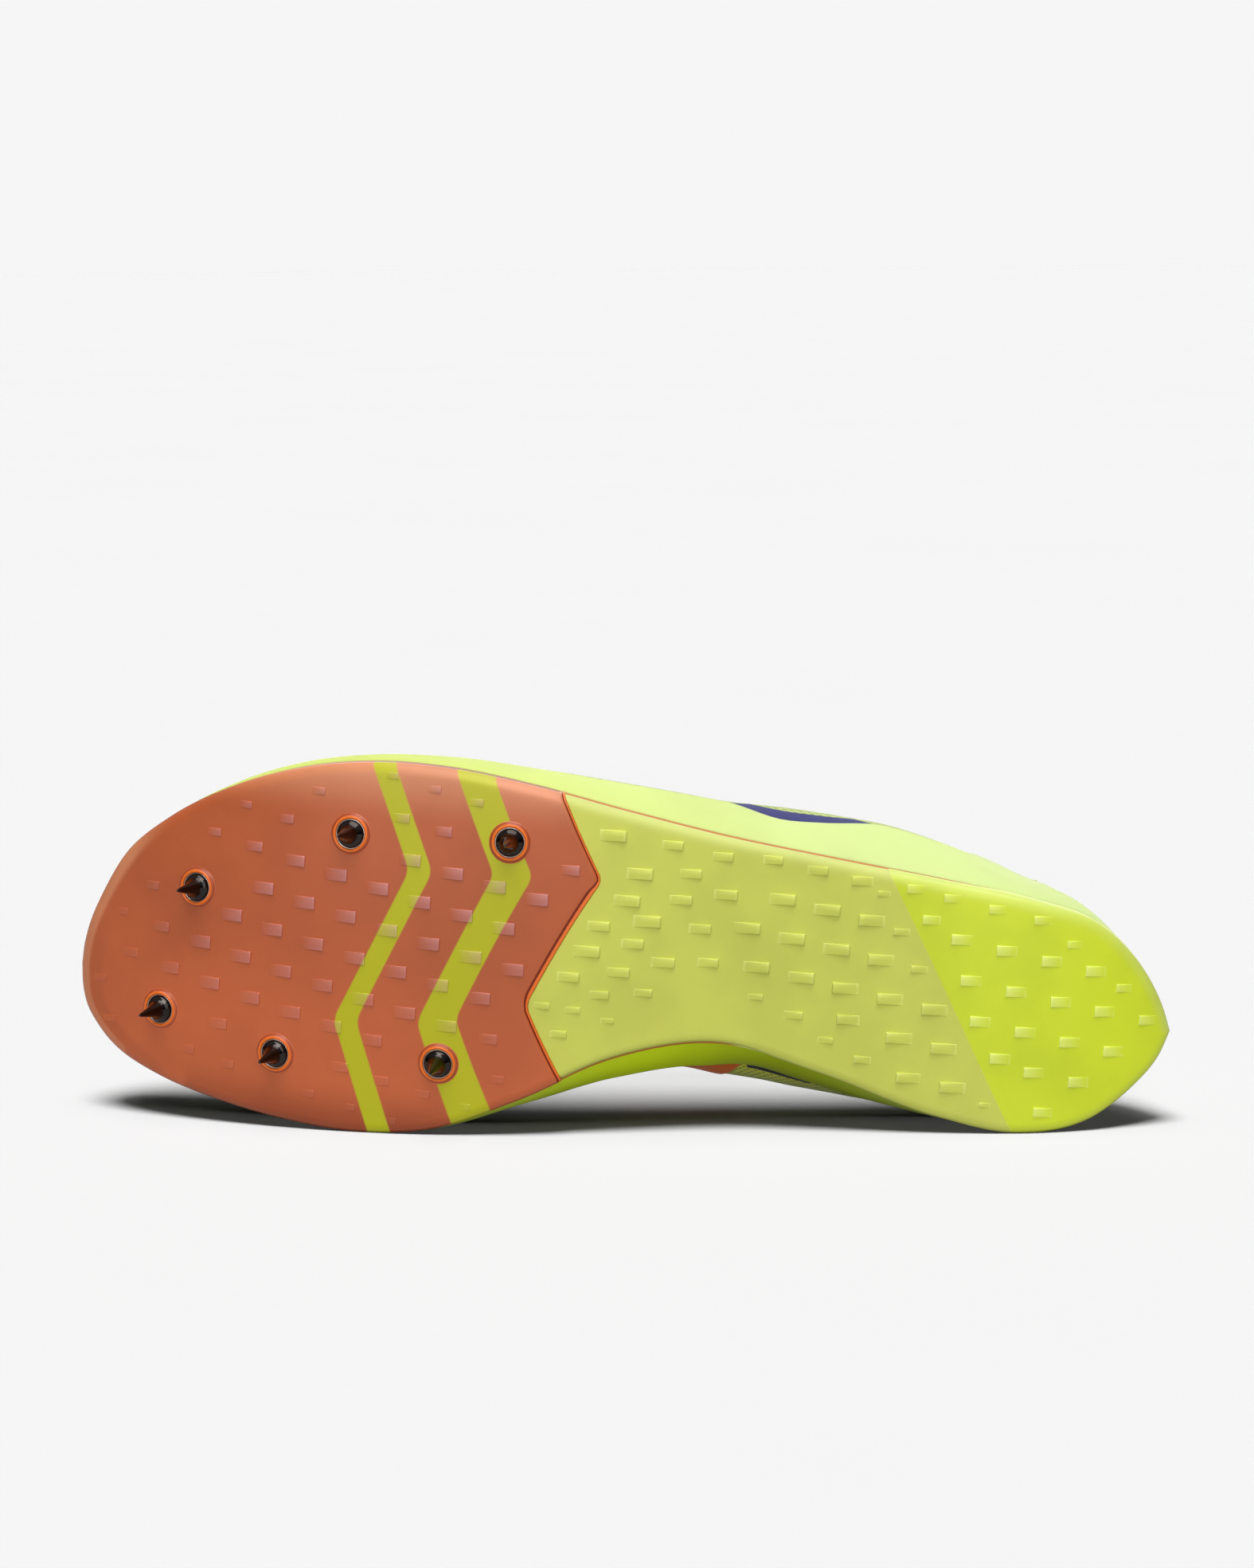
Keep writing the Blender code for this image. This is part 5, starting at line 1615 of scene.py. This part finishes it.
class SHOE_OT_upper(bpy.types.Operator):
    """Builds the knitted upper with its collar, welded overlays, saddles and stitching"""

    bl_idname = "shoe.upper"
    bl_label = "Upper"

    def execute(self, context):
        looks = context.scene.shoe_looks.upper
        hole = darker(looks.knit_colour, 0.5)
        knit = knit_material("upper_mesh", looks.knit_colour, hole, 2.1, 1.5, looks.knit_arch)
        lining = cloth_material("lining_cloth", looks.lining_colour, 0.7)
        piece("upper_mesh", [upper_shell()], [knit, lining], "upper", ["upper"], 60.0)
        film = film_material("upper_film", looks.film_colour)
        for name, shell in (
            ("toe_guard", toe_guard()),
            ("heel_counter", heel_counter()),
            ("eyestay", eyestay()),
        ):
            piece(name, [shell], [film], "upper")
        lateral, medial = LATERAL_SADDLE, MEDIAL_SADDLE
        violet = film_material("lateral_saddle_film", looks.lateral_colour, 0.6, 0.08)
        piece("lateral_saddle", [saddle(1, *lateral)], [violet], "upper")
        orange = film_material("medial_saddle_film", looks.medial_colour, 0.55, 0.12)
        piece("medial_saddle", [saddle(-1, *medial)], [orange], "upper")
        # A dark band along the medial bite line over the arch.
        bite_band = film_material("trim_film", looks.bite_band_colour, 0.5)
        piece("medial_edging", [saddle(-1, *MEDIAL_BITE_BAND)], [bite_band], "upper")
        thread = cloth_material("stitch_thread", looks.film_colour, 0.35)
        t = np.linspace(0, 1, 240)
        rows = stitch_row(0.46 + 1.08 * t, 0.825 - 0.1 * np.sin(np.pi * t) ** 4, 0.62)
        rows += stitch_row(-0.15 + 0.3 * t, 0.05 + 0.5 * np.sin(np.pi * (0.14 + 0.72 * t)) ** 0.6, 0.62)
        piece("upper_stitching", rows, [thread], "upper")
        return {"FINISHED"}


LATERAL_SADDLE = ((74.0, 120.0), (82.0, 111.0), 27.2)
MEDIAL_SADDLE = ((106.0, 130.0), (122.0, 150.0), 60.0)
# The dark band along the medial bite line over the arch.
MEDIAL_BITE_BAND = ((88.0, 106.4), (89.0, 106.4), 0.0, 3.6)

TONGUE_TOP = 0.485
TONGUE_END = 0.985
TONGUE_LAP = (0.80, 0.88, 0.955)
Free = namedtuple("Free", "rise width lift")
TONGUE_FREE = [Free(31.0, 0.56, 4.4), Free(26.0, 0.68, 3.0), Free(16.0, 0.73, 1.0), Free(6.0, 0.79, 0.0)]


def finer(grid, rows, columns):
    """A smooth grid with more rows and columns through a coarse one."""
    tall = smooth(np.arange(len(grid)), grid, np.linspace(0, len(grid) - 1, rows))
    wide = smooth(np.arange(grid.shape[1]), tall.transpose(1, 0, 2), np.linspace(0, grid.shape[1] - 1, columns))
    return wide.transpose(1, 0, 2)


def tongue_face():
    """The tongue's upper face: lapped under both eyelet edges and standing up past the collar."""
    share = np.linspace(TONGUE_TOP, TONGUE_END, 11)
    laps = {}
    for side in (-1, 1):
        ring = ring_of(share, side)
        laps[side] = [skin(ring, np.full(share.shape, up), np.full(share.shape, -TONGUE_DROP)) for up in TONGUE_LAP]
    middle = [throat(share, np.full(share.shape, a), TONGUE_DROP + 1.0) for a in (0.22, 0.5, 0.78)]
    lapped = np.stack(laps[-1] + middle + laps[1][::-1], axis=1)
    run = unit(unit(lapped[0] - lapped[2]).mean(axis=0))
    centre = lapped[0].mean(axis=0)
    lift = unit(np.cross(unit(lapped[0][-1] - lapped[0][0]), run))
    lift = lift * np.sign(lift[2])
    free = [centre + (lapped[0] - centre) * row.width + run * row.rise + lift * row.lift for row in TONGUE_FREE]
    return finer(np.concatenate([np.stack(free), lapped]), 72, 40)


class SHOE_OT_tongue(bpy.types.Operator):
    """Builds the thin padded tongue with its bound edge"""

    bl_idname = "shoe.tongue"
    bl_label = "Tongue"

    def execute(self, context):
        looks = context.scene.shoe_looks.upper
        high = tongue_face()
        down = unit(np.cross(np.gradient(high, axis=0), np.gradient(high, axis=1)))
        down *= np.sign(down[..., 2:]) * -1
        rows, columns = high.shape[:2]
        r = np.minimum(np.arange(rows), 200)[:, None]
        c = np.minimum(np.arange(columns), np.arange(columns)[::-1])[None, :]
        full = np.sqrt(1 - (1 - np.clip(np.minimum(r, c) / 3.0, 0, 1)) ** 2)[..., None]
        middle = high + down * TONGUE_THICK / 2
        top = middle - down * TONGUE_THICK / 2 * np.maximum(full, 0.25)
        low = middle + down * TONGUE_THICK / 2 * np.maximum(full, 0.25)
        body = slab(low, top, 0, cloth=cloth_lengths(high))
        knit = knit_material("tongue_mesh", looks.knit_colour, darker(looks.knit_colour, 0.55), 2.0, 1.4)
        binding = cloth_material("tongue_binding", looks.film_colour, 0.8)
        border = np.concatenate([middle[26::-1, 0], middle[0, 1:], middle[1:27, -1]])
        lift = np.concatenate([down[26::-1, 0], down[0, 1:], down[1:27, -1]]) * -1
        roll = sweep(border, 12, 3.4, 3.0, lift, 1)
        made = piece("tongue_padded", [body, roll], [knit, binding], "tongue", ["tongue"], 60.0)
        return {"FINISHED"}


class SHOE_OT_insole(bpy.types.Operator):
    """Builds the removable insole with its cloth cover"""

    bl_idname = "shoe.insole"
    bl_label = "Insole"

    def execute(self, context):
        looks = context.scene.shoe_looks.upper
        share = (0.012 + 0.976 * crowd(90, 0.015))[:, None]
        across = crowd(34, 0.04)[None, :]
        share, across = np.broadcast_arrays(share, across)
        low = footbed(share, across, INSOLE_LIFT, INSOLE_MARGIN)
        near = np.minimum(np.minimum(np.arange(share.shape[0]), np.arange(share.shape[0])[::-1])[:, None], 4)
        near = np.minimum(near, np.minimum(np.arange(share.shape[1]), np.arange(share.shape[1])[::-1])[None, :])
        full = 0.4 + 0.6 * np.sqrt(1 - (1 - np.clip(near / 4.0, 0, 1)) ** 2)
        high = low + upright(low[..., 0]) * (INSOLE_THICK * full)[..., None]
        cover = cloth_material("insole_cloth", looks.lining_colour, 0.9)
        body = slab(low, high, 0, cloth=cloth_lengths(high))
        made = piece("insole_cover", [body], [cover], "insole", ["insole"], 60.0)
        return {"FINISHED"}


def lace_path(start_share, start_side, end_share, hump):
    """A crossing from an eyelet over the throat to an eyelet on the other side."""
    fractions = np.array([0.08, 0.32, 0.5, 0.68, 0.92])
    across = fractions if start_side < 0 else 1 - fractions
    share = start_share + (end_share - start_share) * (0.2 + 0.6 * fractions)
    drop = np.array([-LACE_CLEAR, LACE_SAG, LACE_SAG - hump, LACE_SAG, -LACE_CLEAR])
    over = throat(share, across, drop[:, None])
    ends = []
    for first, last, side in ((start_share, share[0], start_side), (end_share, share[-1], -start_side)):
        at = np.array([first, first, 0.7 * first + 0.3 * last, 0.4 * first + 0.6 * last])
        up = np.array([EYELET_PLACE, EYELET_PLACE + 0.01, EYELET_PLACE + 0.045, 0.965])
        ends.append(skin(ring_of(at, side), up, np.array([-0.8, 1.0, 1.7, 2.0])))
    coarse = np.concatenate([ends[0], over, ends[1][::-1]])
    return smooth(np.arange(len(coarse)), coarse, np.linspace(0, len(coarse) - 1, 60))


def lace_out(path):
    """Direction away from the foot along a lace."""
    heart = np.stack([path[:, 0] - 6.0, np.full(len(path), 6.5), np.full(len(path), 26.0)], axis=-1)
    return unit(path - heart)


class SHOE_OT_lace(bpy.types.Operator):
    """Builds the flat woven lace and the eyelets that it goes into"""

    bl_idname = "shoe.lace"
    bl_label = "Lace"

    def execute(self, context):
        looks = context.scene.shoe_looks.upper
        wide, thick = looks.lace_width / MM, looks.lace_thickness / MM
        paths = [lace_path(EYELET_ROWS[-1], 1, EYELET_ROWS[-1], 0.0)]
        for low, high in zip(EYELET_ROWS[1:], EYELET_ROWS[:-1]):
            paths += [lace_path(low, 1, high, 0.0), lace_path(low, -1, high, 2.2)]
        shells = [sweep(path, 14, wide, thick, lace_out(path)) for path in paths]
        cord = cloth_material("lace_cloth", looks.lace_colour, 0.7)
        piece("lace_woven", shells, [cord], "lace", ["lace"], 70.0)
        rim = [(1.5, -0.6), (1.5, 0.55), (1.7, 0.85), (2.2, 0.98), (2.7, 0.85), (3.0, 0.5), (3.05, -0.6)]
        shells = []
        for share in EYELET_ROWS:
            for side in (-1, 1):
                ring = np.array(ring_of(share, side))
                up = np.array(EYELET_PLACE)
                out = unit(read_net(SKIN_OUT, ring, up))
                turn = np.array(Vector((0, 0, 1)).rotation_difference(Vector(out)).to_matrix())
                shells.append(turned(rim, skin(ring, up, np.array(0.2)), turn, 28))
        film = film_material("eyelet_film", looks.lateral_colour, 0.35)
        piece("eyelets", shells, [film], "upper")
        return {"FINISHED"}


# Stage.

CAMERA_PLACE = (0.0026, -1.0268, 0.2314)
CAMERA_TILT = 82.0
CAMERA_ROLL = -0.45
SENSOR = 36.0
WINDOW = (-0.1, -0.72, 0.687)
FLOOR_SIDE = 60.0

# Soft lights: height over the floor and turn from the camera's side in degrees, how wide each looks from the
# shoe, what it shines on and what keeps it off.
Lamp = namedtuple("Lamp", "name height turn spread lit blocked")
LAMPS = [
    Lamp("floor_key", 72.0, -14.0, 22.0, "floor_lit", "sole_blocks"),
    Lamp("floor_fill", 85.0, 0.0, 20.0, "floor_lit", "insole_blocks"),
    Lamp("floor_soft", 80.0, -16.0, 40.0, "floor_lit", "shoe_lit"),
    Lamp("top_soft", 76.0, 20.0, 50.0, "shoe_lit", "shoe_lit"),
    Lamp("front_soft", 14.0, -6.0, 70.0, "shoe_lit", "shoe_lit"),
    Lamp("back_soft", 30.0, 165.0, 60.0, "shoe_lit", "shoe_lit"),
]


class SHOE_OT_stage(bpy.types.Operator):
    """Builds the floor, the soft light and the camera"""

    bl_idname = "shoe.stage"
    bl_label = "Stage"

    def execute(self, context):
        looks = context.scene.shoe_looks.stage
        self.make_floor(looks)
        self.make_light(context, looks)
        self.make_camera(context, looks)
        context.scene.view_settings.view_transform = "Standard"
        return {"FINISHED"}

    def make_floor(self, looks):
        half = FLOOR_SIDE / 2
        corners = [(-half, -half, 0), (half, -half, 0), (half, half, 0), (-half, half, 0)]
        mesh = bpy.data.meshes.new("floor")
        mesh.from_pydata(corners, [], [(0, 1, 2, 3)])
        made, tree, sockets = new_material("floor_paper", {"Specular IOR Level": 0.0})
        tone = place_group(
            tree,
            "surface_tone",
            colour=looks.floor_colour,
            deep=darker(looks.floor_colour, 0.99),
            patch_scale=3.0,
            grain_scale=900.0,
            roughness=0.9,
            wander=0.05,
        )
        path = add(tree, "LightPath").outputs
        seen = calc(tree, "MAXIMUM", path["Is Camera Ray"], path["Is Glossy Ray"])
        tree.links.new(mix(tree, seen, looks.bounce_colour, tone["Colour"]), sockets["Base Color"])
        tree.links.new(tone["Roughness"], sockets["Roughness"])
        mesh.materials.append(made)
        floor = bpy.data.objects.new("floor", mesh)
        bpy.context.scene.collection.objects.link(floor)
        lit_group("floor_lit").objects.link(floor)

    def make_light(self, context, looks):
        world = bpy.data.worlds.new("studio")
        world.use_nodes = True
        tree = world.node_tree
        tree.nodes.clear()
        seen = add(tree, "LightPath").outputs["Is Camera Ray"]
        mirrored = add(tree, "LightPath").outputs["Is Glossy Ray"]
        way = add(tree, "TexCoord").outputs["Generated"]
        up = add(tree, "SeparateXYZ", {"Vector": way}).outputs["Z"]
        ceiling = mix(tree, spread(tree, up, 0.05, 0.75), (0.1, 0.1, 0.1), (1.0, 1.0, 1.0))
        facing = add(tree, "VectorMath", {0: way, 1: WINDOW}, operation="DOT_PRODUCT").outputs["Value"]
        ceiling = mix(tree, spread(tree, facing, 0.955, 0.97), ceiling, (14.0, 14.0, 14.0))
        even = add(tree, "Background", {"Color": (1, 1, 1, 1), "Strength": looks.fill})
        gloss = add(tree, "Background", {"Color": ceiling, "Strength": looks.gloss})
        fill = add(tree, "MixShader", {0: mirrored, 1: even.outputs[0], 2: gloss.outputs[0]})
        backdrop = add(tree, "Background", {"Color": (*looks.backdrop_colour, 1), "Strength": 1.0})
        both = add(tree, "MixShader", {0: seen, 1: fill.outputs[0], 2: backdrop.outputs[0]})
        tree.links.new(both.outputs[0], tree.nodes.new("ShaderNodeOutputWorld").inputs["Surface"])
        context.scene.world = world
        for lamp in LAMPS:
            light = bpy.data.lights.new(lamp.name, "SUN")
            light.energy = getattr(looks, lamp.name)
            light.angle = math.radians(lamp.spread)
            made = bpy.data.objects.new(lamp.name, light)
            made.rotation_euler = (math.radians(90.0 - lamp.height), 0.0, math.radians(lamp.turn))
            made.light_linking.receiver_collection = lit_group(lamp.lit)
            made.light_linking.blocker_collection = lit_group(lamp.blocked)
            context.scene.collection.objects.link(made)

    def make_camera(self, context, looks):
        lens = bpy.data.cameras.new("camera")
        lens.lens = looks.focal
        lens.sensor_width = SENSOR
        camera = bpy.data.objects.new("camera", lens)
        turn = Matrix.Rotation(math.radians(CAMERA_TILT), 4, "X") @ Matrix.Rotation(math.radians(CAMERA_ROLL), 4, "Z")
        camera.matrix_world = Matrix.Translation(CAMERA_PLACE) @ turn
        context.scene.collection.objects.link(camera)
        context.scene.camera = camera


OPERATORS = (
    SHOE_OT_stage,
    SHOE_OT_plate,
    SHOE_OT_pads,
    SHOE_OT_spikes,
    SHOE_OT_midsole,
    SHOE_OT_insole,
    SHOE_OT_upper,
    SHOE_OT_tongue,
    SHOE_OT_lace,
)


class SHOE_PT_pieces(bpy.types.Panel):
    """Lists the shoe's looks and the operators that build it"""

    bl_idname = "SHOE_PT_pieces"
    bl_label = "Spike Shoe"
    bl_space_type = "VIEW_3D"
    bl_region_type = "UI"
    bl_category = "Spike Shoe"

    def draw(self, context):
        looks = context.scene.shoe_looks
        for group in (looks.sole, looks.upper, looks.spikes, looks.stage):
            box = self.layout.box()
            for name in group.bl_rna.properties.keys():
                if name not in ("rna_type", "name"):
                    box.prop(group, name)
        for operator in OPERATORS:
            self.layout.operator(operator.bl_idname)


CLASSES = (SoleLooks, UpperLooks, SpikeLooks, StageLooks, ShoeLooks, *OPERATORS, SHOE_PT_pieces)


def register():
    for made in CLASSES:
        bpy.utils.register_class(made)
    bpy.types.Scene.shoe_looks = PointerProperty(name="Spike shoe", description="Looks of the shoe", type=ShoeLooks)


def unregister():
    del bpy.types.Scene.shoe_looks
    for made in reversed(CLASSES):
        bpy.utils.unregister_class(made)


def main():
    register()
    for make_group in (make_tone_group, make_wear_group, make_weave_group, make_knit_group):
        make_group()
    for operator in OPERATORS:
        group, name = operator.bl_idname.split(".")
        getattr(getattr(bpy.ops, group), name)()


if __name__ == "__main__":
    main()
